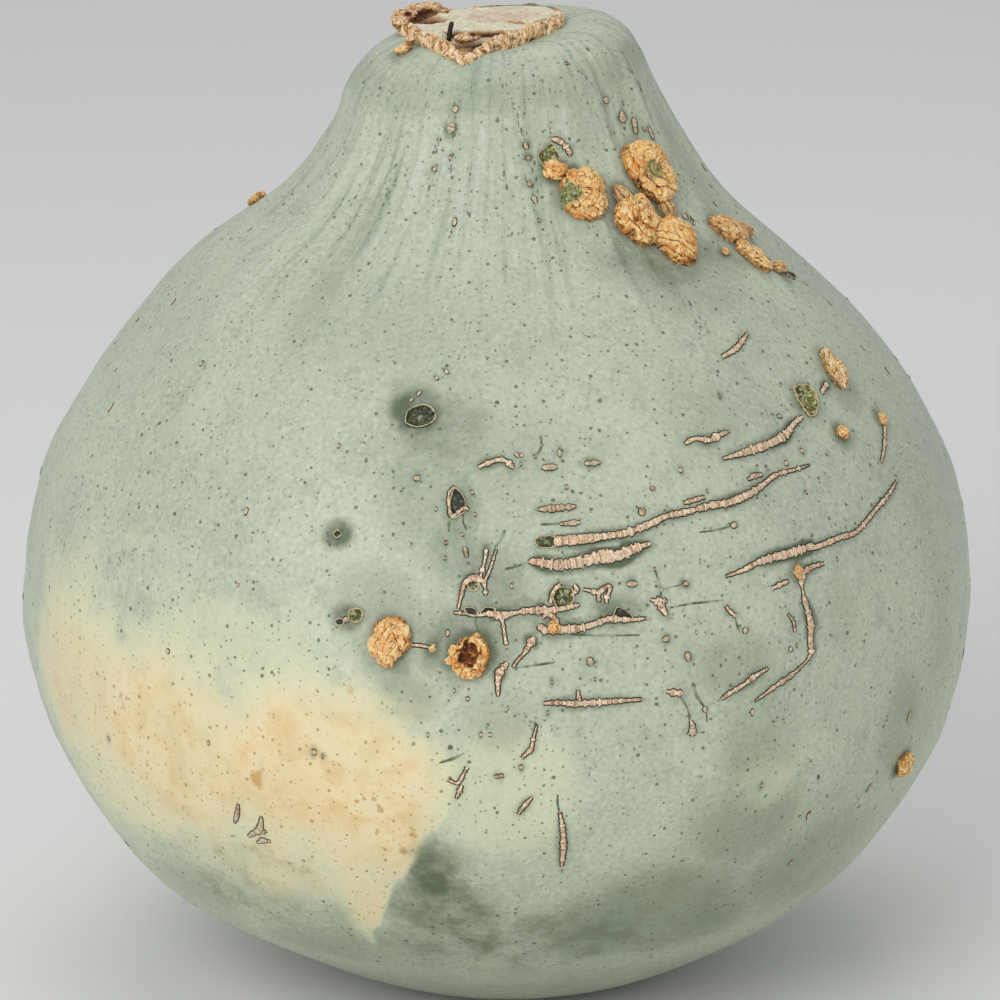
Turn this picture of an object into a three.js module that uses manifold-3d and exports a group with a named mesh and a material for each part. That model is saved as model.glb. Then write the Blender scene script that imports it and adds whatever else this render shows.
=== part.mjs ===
// Blue hubbard squash: a broad, pear-shaped winter squash with a grey-green rind, cork warts on its
// right shoulder, and the dried stub where it was cut from its vine.
//
// Millimetres, +Z up. The origin is the middle of the flat patch that the squash rests on, straight
// under its neck. A bearing runs round the upright axis: 0 degrees faces -Y, the front, and 90
// degrees faces +X, the right. A height on the rind is counted before the neck leans.

import * as THREE from 'three';
import { ParametricGeometry } from 'three/addons/geometries/ParametricGeometry.js';
import * as BufferGeometryUtils from 'three/addons/utils/BufferGeometryUtils.js';
import Module from 'manifold-3d';

const wasm = await Module();
wasm.setup();

const { degToRad, smoothstep } = THREE.MathUtils;

// ---- Body ------------------------------------------------------------------------------------

// The rind's outline seen from the front, from the resting patch up to the neck's top:
// height, half-width to the left, half-width to the right.
const STATIONS = [
  [0, 29, 29], [4, 44, 48.5], [15, 66.5, 71], [34, 98, 97], [60, 118, 117], [88, 129, 128.5],
  [116, 130, 130.5], [142, 125.5, 125], [164, 114, 114], [184, 100, 98.5], [202, 84, 80.5],
  [220, 61, 60], [240, 46, 46], [254, 40.5, 39], [261, 35, 34.5], [265, 27.5, 28.5], [265, 22, 22],
  [263.5, 15, 15], [263, 0, 0],
];

// The neck's top leans to the left and its front brow droops, both growing between two heights.
const NECK_LEAN = { left: degToRad(5.5), from: 205, to: 262 };
const BROW_DROOP = { depth: 3, reach: 36 };

// Grooves run from the neck to the resting patch. Their depths are shares of the radius there,
// which change over the shoulder and fade out at both ends.
const RIB_COUNT = 11;
const RIB_DEPTH = { neck: 0.026, belly: 0.008 };
const RIB_FOOT = { from: 10, to: 50 };
const SHOULDER = { from: 150, to: 215 };
const RIB_HEAD = { from: 245, to: 263 };

// Gentle swellings and hollows: bearing, height, spread, rise.
const SWELLS = [
  [-85, 98, 14, 0.9], [90, 178, 6, 1.5], [35, 48, 18, 1.2], [-60, 40, 16, 0.5],
  [140, 110, 30, 2], [-150, 80, 26, -2], [178, 150, 28, 1.5],
];

const BEARING_STEPS = 80;
const CLIMB_STEPS = 44;

// ---- Warts -----------------------------------------------------------------------------------

// Cork lumps on the rind: bearing, height, width across, length up and down, rise above the rind,
// and turn, in degrees, of the length away from straight up towards the right.
const WARTS = [
  [51, 231.5, 13.5, 17, 6, -20],
  [37.5, 221.5, 13, 13, 5.5, 0],
  [39.5, 226.5, 7, 6, 4, 0],
  [46.5, 215, 12, 12.5, 5.5, 30],
  [25, 230, 12.5, 13, 5, 15],
  [18, 236.5, 6.5, 5.5, 3, 0],
  [37, 228, 4.5, 6.5, 3, -20],
  [51.5, 222.5, 5, 6, 3, 0],
  [67, 214.5, 8, 12, 3.5, 145],
  [66.5, 208.5, 5, 11, 3, 160],
  [75.5, 212.5, 4, 8, 2.5, 130],
  [72.5, 204, 3.5, 10, 2, 120],
  [62, 182, 7, 11, 4, 10],
  [55, 169, 4, 4, 2.5, 0],
  [-12.5, 131, 11, 12, 5, 0],
  [58, 79, 6, 7, 3, 0],
];

// Open warts, each a low ring of cork round a hollow.
const OPEN_WARTS = [
  [52, 178.5, 10, 12, 3, 20],
  [-3.5, 128.5, 9.5, 10.5, 3, 0],
];

const WART_DETAIL = 2;
const WART_SINK = 0.35;
const WART_KNOBBLE = 0.13;
const HOLLOW_SHARE = 0.55;

// ---- Stem stub -------------------------------------------------------------------------------

// The stub's outline on the neck's sloping top, from its front tip round by the right.
const STUB_OUTLINE = [
  [-9, -27], [-2.5, -21], [3.5, -15.5], [10, -8.5], [15.5, -2], [16.5, 5], [13, 12.5], [5, 15.5],
  [-5.5, 15.5], [-16, 14], [-25.5, 12.5], [-28.5, 7], [-25, -1], [-20, -11], [-14, -21],
];
const STUB_CENTRE = [-6.5, -1];
const STUB_TOP = 266.6;
const STUB_LEAN = { front: degToRad(3.5), left: degToRad(3.3) };
const STUB_DEPTH = 9;
const STUB_FLARE = 1.2;
const STUB_STEPS = 45;
const RIM_WIDTH = 3.2;
const RIM_HEIGHT = 1.4;
const GAP = 0.3;

// Lumps of cork along the stub's rim: x, y, width, depth, rise.
const RIM_LUMPS = [
  [-25, 10, 7, 6, 3.6], [-18.5, 12.5, 7, 5, 3.2], [-26, 3.5, 5, 6, 2.6],
];

// The hollow that rotted out of the cut face behind its front tip: x, y, width, depth, drop.
const FACE_HOLLOW = [-9.5, -16, 7, 8, 0.8];

// ---- Rind surface ----------------------------------------------------------------------------

const outline = new THREE.CatmullRomCurve3(
  STATIONS.map(([height, left, right]) => new THREE.Vector3(left, right, height)),
  false, 'catmullrom', 0.5,
);

function ribFactor(bearing, height) {
  const onNeck = smoothstep(height, SHOULDER.from, SHOULDER.to);
  const neck = onNeck * (1 - smoothstep(height, RIB_HEAD.from, RIB_HEAD.to));
  const belly = smoothstep(height, RIB_FOOT.from, RIB_FOOT.to) * (1 - onNeck);
  const wander = 0.35 * Math.sin(2 * bearing + 0.6) + 0.25 * Math.sin(3 * bearing + 2.1);
  const groove = 0.5 - 0.5 * Math.cos(RIB_COUNT * bearing + 2.2 * wander);
  return 1 - groove * (RIB_DEPTH.neck * neck + RIB_DEPTH.belly * belly);
}

// climb runs from 0 at the resting patch's edge to 1 at the neck's top.
function rindPoint(bearing, climb, target) {
  const { x: left, y: right, z: height } = outline.getPoint(climb);
  let radius = (left + right) / 2 + (right - left) / 2 * Math.sin(bearing);
  radius *= ribFactor(bearing, height);
  for (const [swellBearing, swellHeight, spread, rise] of SWELLS) {
    const turn = Math.atan2(
      Math.sin(bearing - degToRad(swellBearing)), Math.cos(bearing - degToRad(swellBearing)),
    );
    const away = Math.hypot(turn * radius, height - swellHeight) / spread;
    radius += rise * Math.exp(-away * away / 2);
  }
  const x = radius * Math.sin(bearing);
  const y = -radius * Math.cos(bearing);
  const lean = smoothstep(height, NECK_LEAN.from, NECK_LEAN.to);
  const droop = BROW_DROOP.depth * smoothstep(-y, 0, BROW_DROOP.reach);
  return target.set(x, y, height + lean * (Math.tan(NECK_LEAN.left) * x - droop));
}

function climbAt(height) {
  let low = 0;
  let high = 1;
  while (high - low > 1e-6) {
    const middle = (low + high) / 2;
    if (outline.getPoint(middle).z < height) low = middle;
    else high = middle;
  }
  return low;
}

// A frame on the rind: X to the right along it, Y up along it, Z straight out of it.
function rindFrame(bearingDegrees, height, turnDegrees = 0, lift = 0) {
  const bearing = degToRad(bearingDegrees);
  const climb = climbAt(height);
  const point = rindPoint(bearing, climb, new THREE.Vector3());
  const across = rindPoint(bearing + 0.01, climb, new THREE.Vector3()).sub(point).normalize();
  const up = rindPoint(bearing, climb + 0.002, new THREE.Vector3()).sub(point).normalize();
  const out = new THREE.Vector3().crossVectors(across, up).normalize();
  up.crossVectors(out, across);
  const turned = new THREE.Matrix4().makeRotationZ(-degToRad(turnDegrees));
  return new THREE.Matrix4()
    .makeBasis(across, up, out)
    .multiply(turned)
    .setPosition(point.addScaledVector(out, lift));
}

// ---- Solids ----------------------------------------------------------------------------------

function toSolid(geometry) {
  geometry.deleteAttribute('normal');
  geometry.deleteAttribute('uv');
  const merged = BufferGeometryUtils.mergeVertices(geometry, 1e-3);
  return new wasm.Manifold(new wasm.Mesh({
    numProp: 3,
    vertProperties: merged.attributes.position.array,
    triVerts: new Uint32Array(merged.index.array),
  }));
}

function toGeometry(solid) {
  const { vertProperties, triVerts } = solid.getMesh();
  const geometry = new THREE.BufferGeometry();
  geometry.setAttribute('position', new THREE.BufferAttribute(vertProperties, 3));
  geometry.setIndex(new THREE.BufferAttribute(triVerts, 1));
  geometry.computeVertexNormals();
  return geometry;
}

// The rind as one closed surface. Its first ring is the flat resting patch.
function bodySolid() {
  const patchEdge = 1 / CLIMB_STEPS;
  const geometry = new ParametricGeometry((u, v, target) => {
    const bearing = 2 * Math.PI * u;
    rindPoint(bearing, Math.max(0, (v - patchEdge) / (1 - patchEdge)), target);
    if (v === 0) target.set(0, 0, 0);
  }, BEARING_STEPS, CLIMB_STEPS);
  return toSolid(geometry);
}

// A lump whose radius wanders with direction in crossed waves, so that no two are alike.
function lumpSolid(size, matrix, seed, knobble = WART_KNOBBLE) {
  const geometry = new THREE.IcosahedronGeometry(1, WART_DETAIL);
  const position = geometry.attributes.position;
  const direction = new THREE.Vector3();
  for (let i = 0; i < position.count; i++) {
    direction.fromBufferAttribute(position, i);
    const { x, y, z } = direction;
    const bumps = Math.sin(5 * x + seed) * Math.sin(4.3 * y + 2 * seed)
      + 0.6 * Math.sin(7 * z + 3.1 * seed + 4 * x);
    direction.multiplyScalar(1 + knobble * bumps).multiply(size);
    position.setXYZ(i, direction.x, direction.y, direction.z);
  }
  geometry.applyMatrix4(matrix);
  return toSolid(geometry);
}

function wartSolid([bearing, height, width, length, rise, turn], seed) {
  const sink = -WART_SINK * rise;
  const size = new THREE.Vector3(width / 2, length / 2, rise - sink);
  return lumpSolid(size, rindFrame(bearing, height, turn, sink), seed);
}

function openWart(body, place, seed) {
  const [bearing, height, width, length, rise, turn] = place;
  const size = new THREE.Vector3(width / 2, length / 2, rise).multiplyScalar(HOLLOW_SHARE);
  const hollow = lumpSolid(size, rindFrame(bearing, height, turn, rise), seed, 0);
  return body.add(wartSolid(place, seed)).subtract(hollow);
}

function squashBody() {
  let body = bodySolid();
  WARTS.forEach((wart, index) => {
    body = body.add(wartSolid(wart, 1.7 * index));
  });
  OPEN_WARTS.forEach((wart, index) => {
    body = openWart(body, wart, 2.3 * index + 1);
  });
  return body;
}

// A prism on the stub's outline, drawn in by inset, between two levels of the stub's own frame.
function stubPrism(inset, low, high, flare = 0) {
  const [centreX, centreY] = STUB_CENTRE;
  const edge = new THREE.CatmullRomCurve3(
    STUB_OUTLINE.map(([x, y]) => {
      const reach = Math.hypot(x - centreX, y - centreY);
      const share = (reach - inset) / reach;
      return new THREE.Vector3(
        centreX + (x - centreX) * share, centreY + (y - centreY) * share, 0,
      );
    }),
    true, 'catmullrom', 0.4,
  ).getPoints(STUB_STEPS).slice(0, -1);
  const shape = new THREE.Shape(edge.map(({ x, y }) => new THREE.Vector2(x, y)));
  const geometry = new THREE.ExtrudeGeometry(shape, {
    depth: high - low - 2 * flare,
    steps: 1,
    bevelEnabled: flare > 0,
    bevelThickness: flare,
    bevelSize: flare,
    bevelOffset: -flare,
    bevelSegments: 2,
  });
  return toSolid(geometry.translate(0, 0, low + flare));
}

// The dried stub: a corky rim round a shallow cut face, hugging the neck's top from above.
function stemStub(body) {
  let stub = stubPrism(0, -STUB_DEPTH, 0, STUB_FLARE)
    .subtract(stubPrism(RIM_WIDTH, -RIM_HEIGHT, RIM_HEIGHT));
  RIM_LUMPS.forEach(([x, y, width, depth, rise], index) => {
    const size = new THREE.Vector3(width / 2, depth / 2, rise);
    const place = new THREE.Matrix4().makeTranslation(x, y, -RIM_HEIGHT);
    stub = stub.add(lumpSolid(size, place, 3.1 * index));
  });
  const [x, y, width, depth, drop] = FACE_HOLLOW;
  const hollowSize = new THREE.Vector3(width / 2, depth / 2, drop);
  const hollowPlace = new THREE.Matrix4().makeTranslation(x, y, -RIM_HEIGHT);
  stub = stub.subtract(lumpSolid(hollowSize, hollowPlace, 5));

  const lean = new THREE.Euler(STUB_LEAN.front, -STUB_LEAN.left, 0);
  const place = new THREE.Matrix4().makeRotationFromEuler(lean).setPosition(0, 0, STUB_TOP);
  return stub.transform(place.elements).subtract(body.translate(0, 0, GAP));
}

// ---- Object ----------------------------------------------------------------------------------

const rind = new THREE.MeshStandardMaterial({ color: '#a9b2a0', roughness: 0.5, metalness: 0 });
const cork = new THREE.MeshStandardMaterial({ color: '#cfa77c', roughness: 0.9, metalness: 0 });

function namedMesh(name, solid, material) {
  const mesh = new THREE.Mesh(toGeometry(solid), material);
  mesh.name = name;
  return mesh;
}

const body = squashBody();

const squash = new THREE.Group();
squash.add(namedMesh('squash_body', body, rind));
squash.add(namedMesh('stem_stub', stemStub(body), cork));

export default squash;
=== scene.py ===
"""A blue hubbard squash, warty, scarred and cut from its vine, on a pale studio floor.

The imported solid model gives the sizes. Its waxy rind, warts, corky scars, pits and cut stem are
modelled here over it. Places on the rind are given as a bearing in degrees, with 0 at the front and
growing to the right, and a height in millimetres. Lengths are millimetres until a mesh is made.
"""

import math

import bmesh
import bpy
import numpy as np
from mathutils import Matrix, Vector, kdtree, noise


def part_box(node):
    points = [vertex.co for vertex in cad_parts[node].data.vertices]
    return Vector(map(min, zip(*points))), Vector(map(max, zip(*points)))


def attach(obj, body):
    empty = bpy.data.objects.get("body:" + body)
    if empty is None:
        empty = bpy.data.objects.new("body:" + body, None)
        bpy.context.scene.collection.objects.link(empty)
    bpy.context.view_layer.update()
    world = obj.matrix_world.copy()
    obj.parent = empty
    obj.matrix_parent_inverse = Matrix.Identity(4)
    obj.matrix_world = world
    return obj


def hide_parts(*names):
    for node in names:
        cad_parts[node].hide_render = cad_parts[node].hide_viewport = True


bl_info = {
    "name": "Blue Hubbard Squash",
    "version": (1, 0, 0),
    "blender": (4, 5, 0),
    "location": "3D View > Sidebar > Squash",
    "description": "A blue hubbard squash with warts, corky scars and a cut stem",
    "category": "Add Mesh",
}

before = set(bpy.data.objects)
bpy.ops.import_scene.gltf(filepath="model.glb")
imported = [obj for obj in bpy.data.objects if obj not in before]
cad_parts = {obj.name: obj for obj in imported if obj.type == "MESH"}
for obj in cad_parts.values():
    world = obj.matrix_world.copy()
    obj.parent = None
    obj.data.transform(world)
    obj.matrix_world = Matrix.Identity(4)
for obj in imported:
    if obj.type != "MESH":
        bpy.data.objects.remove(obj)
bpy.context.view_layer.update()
BODY_LOW, BODY_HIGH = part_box("squash_body")

MM = 0.001

# The rind's outline from the foot to the dish under the stem: height, half-width left and right.
STATIONS = np.array([
    (0, 29, 29), (4, 44, 48.5), (15, 66.5, 71), (34, 98, 97), (60, 118, 117), (88, 129, 128.5),
    (116, 130, 130.5), (142, 125.5, 125), (164, 114, 114), (184, 100, 98.5), (202, 84, 80.5),
    (220, 61, 60), (240, 46, 46), (254, 40.5, 39), (261, 35, 34.5), (265, 27.5, 28.5),
    (265, 22, 22), (263.5, 15, 15), (263, 0, 0),
], float)
NECK_LEAN = {"left": 5.5, "low": 205, "high": 262}
BROW_DROOP = {"depth": 3, "reach": 36}

# Grooves between the ribs. Their wander round the squash is waves: how many, how strong, and the phase.
RIB_COUNT = 11
RIB_DEPTH = {"neck": 0.026, "belly": 0.008}
RIB_FOOT = (10, 50)
SHOULDER = (150, 215)
RIB_HEAD = (245, 263)
RIB_WANDER = [(2, 0.35, 0.6), (3, 0.25, 2.1)]
RIB_SWAY = 2.2

# Slow lumps of the skin, made of waves of several lengths, and the fine upright folds of the neck.
# WAVE is how far a wave's phase turns over its own length, in radians.
LUMPS = {"seed": 11, "waves": 16, "shortest": 14, "longest": 60, "girth": 130, "depth": 0.12}
NECK_FOLDS = {"count": 52, "depth": 0.09, "low": 190, "high": 235}
WAVE = 6

# Broad swells: bearing, height, spread and rise.
SWELLS = [
    (-85, 98, 14, 0.9), (90, 178, 6, 1.5), (35, 48, 18, 1.2), (-60, 40, 16, 0.5),
    (140, 110, 30, 2.0), (-150, 80, 26, -2.0), (178, 150, 28, 1.5),
]

# Warts: bearing, height, width, length, rise and the turn of the length from straight up to the
# right, then how the cork folds and how grey and old it is, from 0 to 1.
SHOULDER_WARTS = [
    (51, 231.5, 13.5, 17.5, 6.5, -25, "rings", 0.0),
    (37.5, 221.5, 13, 13, 5.5, 0, "rings", 0.0),
    (41, 224.5, 7, 6.5, 4, 0, "crumpled", 0.1),
    (46.5, 215, 11.5, 14.5, 5.5, -32, "rows", 0.0),
    (25, 230, 12.5, 13, 5, 15, "crumpled", 0.15),
    (18, 236.5, 6.5, 5.5, 3, 0, "rings", 0.1),
    (37, 228, 4.5, 6.5, 3, -20, "grooves", 0.7),
    (51.5, 222.5, 5, 6, 3, 0, "grooves", 0.7),
    (23.5, 235.5, 1.6, 2, 1.2, 0, "crumpled", 0.2),
]
RIDGE_WARTS = [
    (67, 214.5, 8, 12, 3.5, 145, "crumpled", 0.45),
    (66.5, 208.5, 5, 11, 3, 160, "crumpled", 0.4),
    (75.5, 212.5, 4, 8, 2.5, 130, "crumpled", 0.5),
    (72.5, 204, 3.5, 10, 2, 120, "crumpled", 0.4),
    (60, 211, 2, 2.4, 1.4, 0, "crumpled", 0.3),
    (62, 182, 6, 11, 3.4, 12, "crumpled", 0.7),
    (55, 169, 3.4, 3.6, 2.2, 0, "crumpled", 0.35),
    (66, 168, 2.4, 4, 1.6, 20, "crumpled", 0.35),
]
BELLY_WARTS = [
    (-12.5, 131, 10.5, 12, 4.5, 0, "rings", 0.25),
    (59, 78.5, 5, 6.5, 3, 10, "crumpled", 0.2),
    (-5.5, 127, 2.4, 2, 1, 0, "crumpled", 0.4),
    (-2.5, 133.5, 1.8, 1.8, 1, 0, "crumpled", 0.4),
    (6.3, 135.3, 3, 3.8, 1.3, 0, "crumpled", 0.0),
    (38.3, 141.5, 3, 3.6, 1.1, 0, "crumpled", 0.3),
    (-7.5, 130, 2, 2, 1, 0, "crumpled", 0.5),
    (-62, 264.6, 3.4, 4.6, 1.8, 10, "crumpled", 0.3),
]
BACK_WARTS = [
    (152, 204, 7, 8, 3.5, 20, "crumpled", 0.3),
    (160, 196, 4, 5, 2.5, 0, "grooves", 0.6),
    (-128, 152, 5.5, 6.5, 2.5, -30, "rings", 0.3),
    (-104, 214, 4.5, 6, 2.2, 10, "crumpled", 0.4),
    (118, 128, 4, 4.5, 2, 0, "crumpled", 0.4),
    (-168, 96, 5, 4.5, 2.2, 0, "rings", 0.3),
]
# One wart is burst open: bearing, height, width, length, rise and the hollow's share of it.
BURST_WART = (-3.5, 128.2, 9.4, 10, 3.2, 0.68)

# Corky healed scratches, each drawn flat on the rind: the bearing and height that it starts from,
# then its points to the right, up, and the width there.
SCARS = {
    "arch": (-3, 172.5, [(0.5, 0, 0.6), (2.5, 1, 1.2), (5.5, 2, 1.2), (7.5, 1.5, 1.2), (9.5, -0.5, 0.8)]),
    "long upper": (6.5, 156, [
        (0.5, -0.5, 2.2), (2, -0.5, 3), (12.5, 0, 2), (19.5, 0.5, 1.6), (26.5, 2.5, 1.8), (30.5, 4, 1.6),
        (35.5, 4.5, 1.6), (43.5, 5.5, 1.8), (49, 5.5, 2), (56.5, 7, 1.8), (61, 8.5, 1.4), (65.5, 10, 1.2),
        (73.5, 10, 0.6), (79, 10, 0.2)]),
    "long middle": (3.5, 150.5, [
        (0, 0.5, 0.4), (2, 0.5, 2.2), (7.5, -0.5, 3), (13.5, 0, 3), (19, 1, 3.6), (23.5, 1, 3.6),
        (28, 2.5, 2.4), (32.5, 3.5, 1.2)]),
    "long right": (28, 144, [
        (-0.5, 0, 0.4), (6, 1, 1.2), (10, 2, 1.6), (15.5, 2.5, 2.2), (19.5, 2.5, 2.4), (27.5, 3, 2.2),
        (30.5, 2.5, 1.4), (39.5, 3, 1.6), (48, 3, 1.2), (58.5, 7, 1.2), (65, 9.5, 1.2), (70.5, 11.5, 0.4)]),
    "crater tail": (49.5, 175, [
        (0, 0, 0.8), (-4, -1, 1.4), (-9, -3, 2.2), (-15, -4, 2.4), (-22, -4.5, 2.2), (-28, -5, 1.6),
        (-34, -5.5, 0.4)]),
    "drop": (38, 143, [
        (0.5, 0, 0.6), (1.5, -2.5, 3.4), (1, -4.5, 1.6), (1, -6, 0.6), (1, -8.5, 1.2), (1.5, -12, 2),
        (2, -16, 2.4), (1.5, -19.5, 2), (1.5, -22.5, 1.8), (0, -24.5, 0.6), (-3, -26, 0.8),
        (-6.5, -27.5, 1.2), (-10.5, -29, 1.2), (-14.5, -31, 0.8), (-17.5, -32.5, 0.2)]),
    "drop arm": (39, 140.5, [(0, 0.5, 1.6), (1.5, 1, 1.4), (4, 1.5, 1.2), (8, 1.5, 0.6)]),
    "slant": (26, 113, [(0, 0, 0.4), (3, 1.5, 1.2), (6.5, 3, 1), (10, 5, 1.2), (14, 6.5, 0.4)]),
    "short slant": (34, 139, [(0, 0, 0.4), (3, 0.5, 1.2), (6, 1, 0.6)]),
    "crescent": (35.5, 132, [(0.5, 0, 0.4), (2, -2.5, 0.8), (2, -5, 0.8)]),
    "hook": (-4.5, 140, [
        (-0.5, 0, 0.6), (0.5, 4.5, 0.8), (1, 6.5, 1.2), (3, 8, 1.8), (5, 7.5, 1.4), (6, 6.5, 0.8),
        (6.5, 3.5, 0.6)]),
    "hook hair": (-2, 147.5, [(-0.5, 0, 0.6), (0.5, 4, 0.6), (1, 7.5, 1.2)]),
    "hook hair right": (-1.5, 146.5, [(-0.5, 0, 0.8), (1, 3.5, 0.6), (2.5, 8.5, 0.4)]),
    "chain": (-5.5, 138.5, [
        (0.5, 0.5, 0.6), (2.5, 0.5, 0.5), (6.5, 0, 0.5), (9.5, 0.5, 1.4), (12.5, 0, 2.4), (15.5, 0.5, 1.2),
        (18.5, 1, 1.2), (20.5, 1, 1.6), (24, 1, 2.4), (27, 1, 1.6), (30.5, 1.5, 1.2), (33, 2, 0.6)]),
    "chain leg": (0.5, 138, [(-0.5, 0, 1.2), (0, -2, 0.8), (0.5, -5.5, 0.8), (1, -7, 0.4)]),
    "crater lip left": (6, 141, [(0, 0, 0.8), (1, 3, 1.2), (3, 5, 0.8)]),
    "crater lip right": (8.5, 142.5, [(0, 0, 0.8), (1.5, 1.5, 1.2), (1, 3, 0.8)]),
    "branchlet": (10, 144, [
        (0, 0, 0.6), (2, -0.5, 0.8), (4, -1, 1.2), (6.5, 0.5, 0.8), (7, -0.5, 0.8), (6, -2.5, 0.8),
        (6, -4, 0.6)]),
    "branchlet leg": (12, 143, [(-0.5, 0, 0.8), (-0.5, -2.5, 0.6)]),
    "low": (4.5, 136, [
        (0, 0, 1.4), (1.5, -1.5, 2), (5, -1.5, 2.4), (10.5, -1.5, 2.2), (15, -0.5, 1.4),
        (18.5, 0.5, 1.6), (24, 0, 1.2), (28.5, 0, 0.4)]),
    "low knob": (5, 137.5, [
        (0, 0, 0.8), (1.5, 1, 1.2), (3.5, -0.5, 1.2), (3.5, -2.5, 1.2), (1, -3, 1.2), (-0.5, -1.5, 0.8)]),
    "pit left edge": (-6, 168, [
        (0.5, 0.5, 0.4), (-1, -2, 0.6), (0, -7.5, 1), (3, -5.5, 0.8), (4.5, -6, 0.4)]),
    "neck bend": (40, 191.5, [(0, 0, 0.8), (6.5, 1.5, 1.6), (13.5, 4.5, 0.8)]),
    "fan neck": (59, 179.5, [(-0.5, 0.5, 1.8), (-3.5, -0.5, 1.6), (-5.5, -1.5, 0.8)]),
    "far tail": (66, 166.5, [(0, 0, 1.2), (-2, -2, 1.4), (-7, -5.5, 1.2), (-12, -8, 0.6)]),
    "pale dash": (24, 162, [(0.5, 0, 0.6), (3.5, 0.5, 1.2), (7, 1, 0.6)]),
    "pale dash right": (34.5, 165, [(0, 0, 0.6), (3, 0.5, 1.2), (5.5, 0.5, 0.6)]),
    "grey arch": (26.5, 175, [(0.5, 0, 0.6), (4, 1, 1.2), (8, 0, 1.6), (11.5, 1, 1.2), (14.5, 1.5, 0.6)]),
    "star": (18, 140.5, [(0, 0, 0.6), (2, -1, 1.4), (3, -2.5, 1.6), (4, -4.5, 1.2)]),
    "star arm": (19, 140, [(-0.5, 0.5, 0.8), (1, 0, 0.8), (2.5, -0.5, 0.6)]),
    "slit": (27, 137, [(0.5, 0, 0.6), (1.5, -1.5, 1), (3, -3, 0.6)]),
    "tadpole": (19.5, 117, [(-0.5, 0, 0.6), (1.5, -0.5, 1.6), (4, -1, 1.4)]),
    "tadpole foot": (22, 108.5, [(0.5, 0, 0.6), (1, -1.5, 1.4), (1, -3, 2.2), (1, -4.4, 0.8)]),
    "burst tail": (3.5, 132, [
        (1.2, 1.2, 1.0), (0.6, 0.2, 2.4), (-0.5, -1.5, 1.2), (-1.5, -3, 0.8), (-3, -4.5, 0.6),
        (-4.5, -6.5, 0.6)]),
    "burst leg": (1, 127, [(0, 0, 0.8), (-2, -2.5, 2), (-2.5, -5, 1.2), (-2.5, -9, 0.6)]),
    "wart stalk": (-9.5, 130.5, [(-1, 0, 0.8), (1.5, 0, 0.8), (4.5, -0.5, 1)]),
    "straight": (5, 116, [
        (0, 0, 0.8), (4, 0, 1.2), (8, -0.5, 1.6), (12, -0.5, 1.6), (18, -0.5, 1.4), (26, -0.5, 0.6)]),
    "straight spur": (9, 119, [(0, 0, 0.6), (0, -1.5, 0.8), (0.5, -3, 0.8)]),
    "curl": (4.5, 110.5, [
        (-0.5, 0, 0.4), (-1.5, -4, 0.6), (-2, -6.5, 1.2), (-3.5, -8, 0.8), (-4.5, -9, 0.4)]),
    "fork": (-6, 95.5, [(0.5, 0, 0.4), (3, -1, 0.8), (4.5, 1.5, 0.8), (5.5, 3.5, 0.4)]),
    "fork leg": (-4, 94, [(-0.5, 0, 0.6), (-1, -1.5, 1.2), (-2, -4, 0.6)]),
    "low dash": (4, 90.5, [(-0.5, 0, 0.6), (-2.5, -2.5, 1.2), (-4, -5, 0.6)]),
    "drip": (7, 86, [(0, 0, 0.6), (1, -5.5, 1.2), (1.5, -11.5, 1.6), (1.5, -18.5, 0.6)]),
    "neck worm": (19, 244.5, [(0, 0, 0.8), (1.5, -0.5, 1.4), (3, -2, 1.6), (4, -4, 1.4), (4, -5.5, 0.8)]),
    "back long": (148, 146, [(0, 0, 0.4), (9, 1.5, 1.8), (20, 1, 2.2), (31, 4, 1.6), (40, 5, 0.4)]),
    "back short": (-158, 170, [(0, 0, 0.4), (5, -2, 1.4), (11, -3, 1.6), (16, -6, 0.4)]),
    "back slant": (-118, 112, [(0, 0, 0.4), (4, 4, 1.2), (7, 9, 1.4), (12, 13, 0.4)]),
    "side hair": (96, 112, [(0, 0, 0.4), (3, -5, 1), (4, -11, 1.2), (8, -16, 0.4)]),
}

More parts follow.
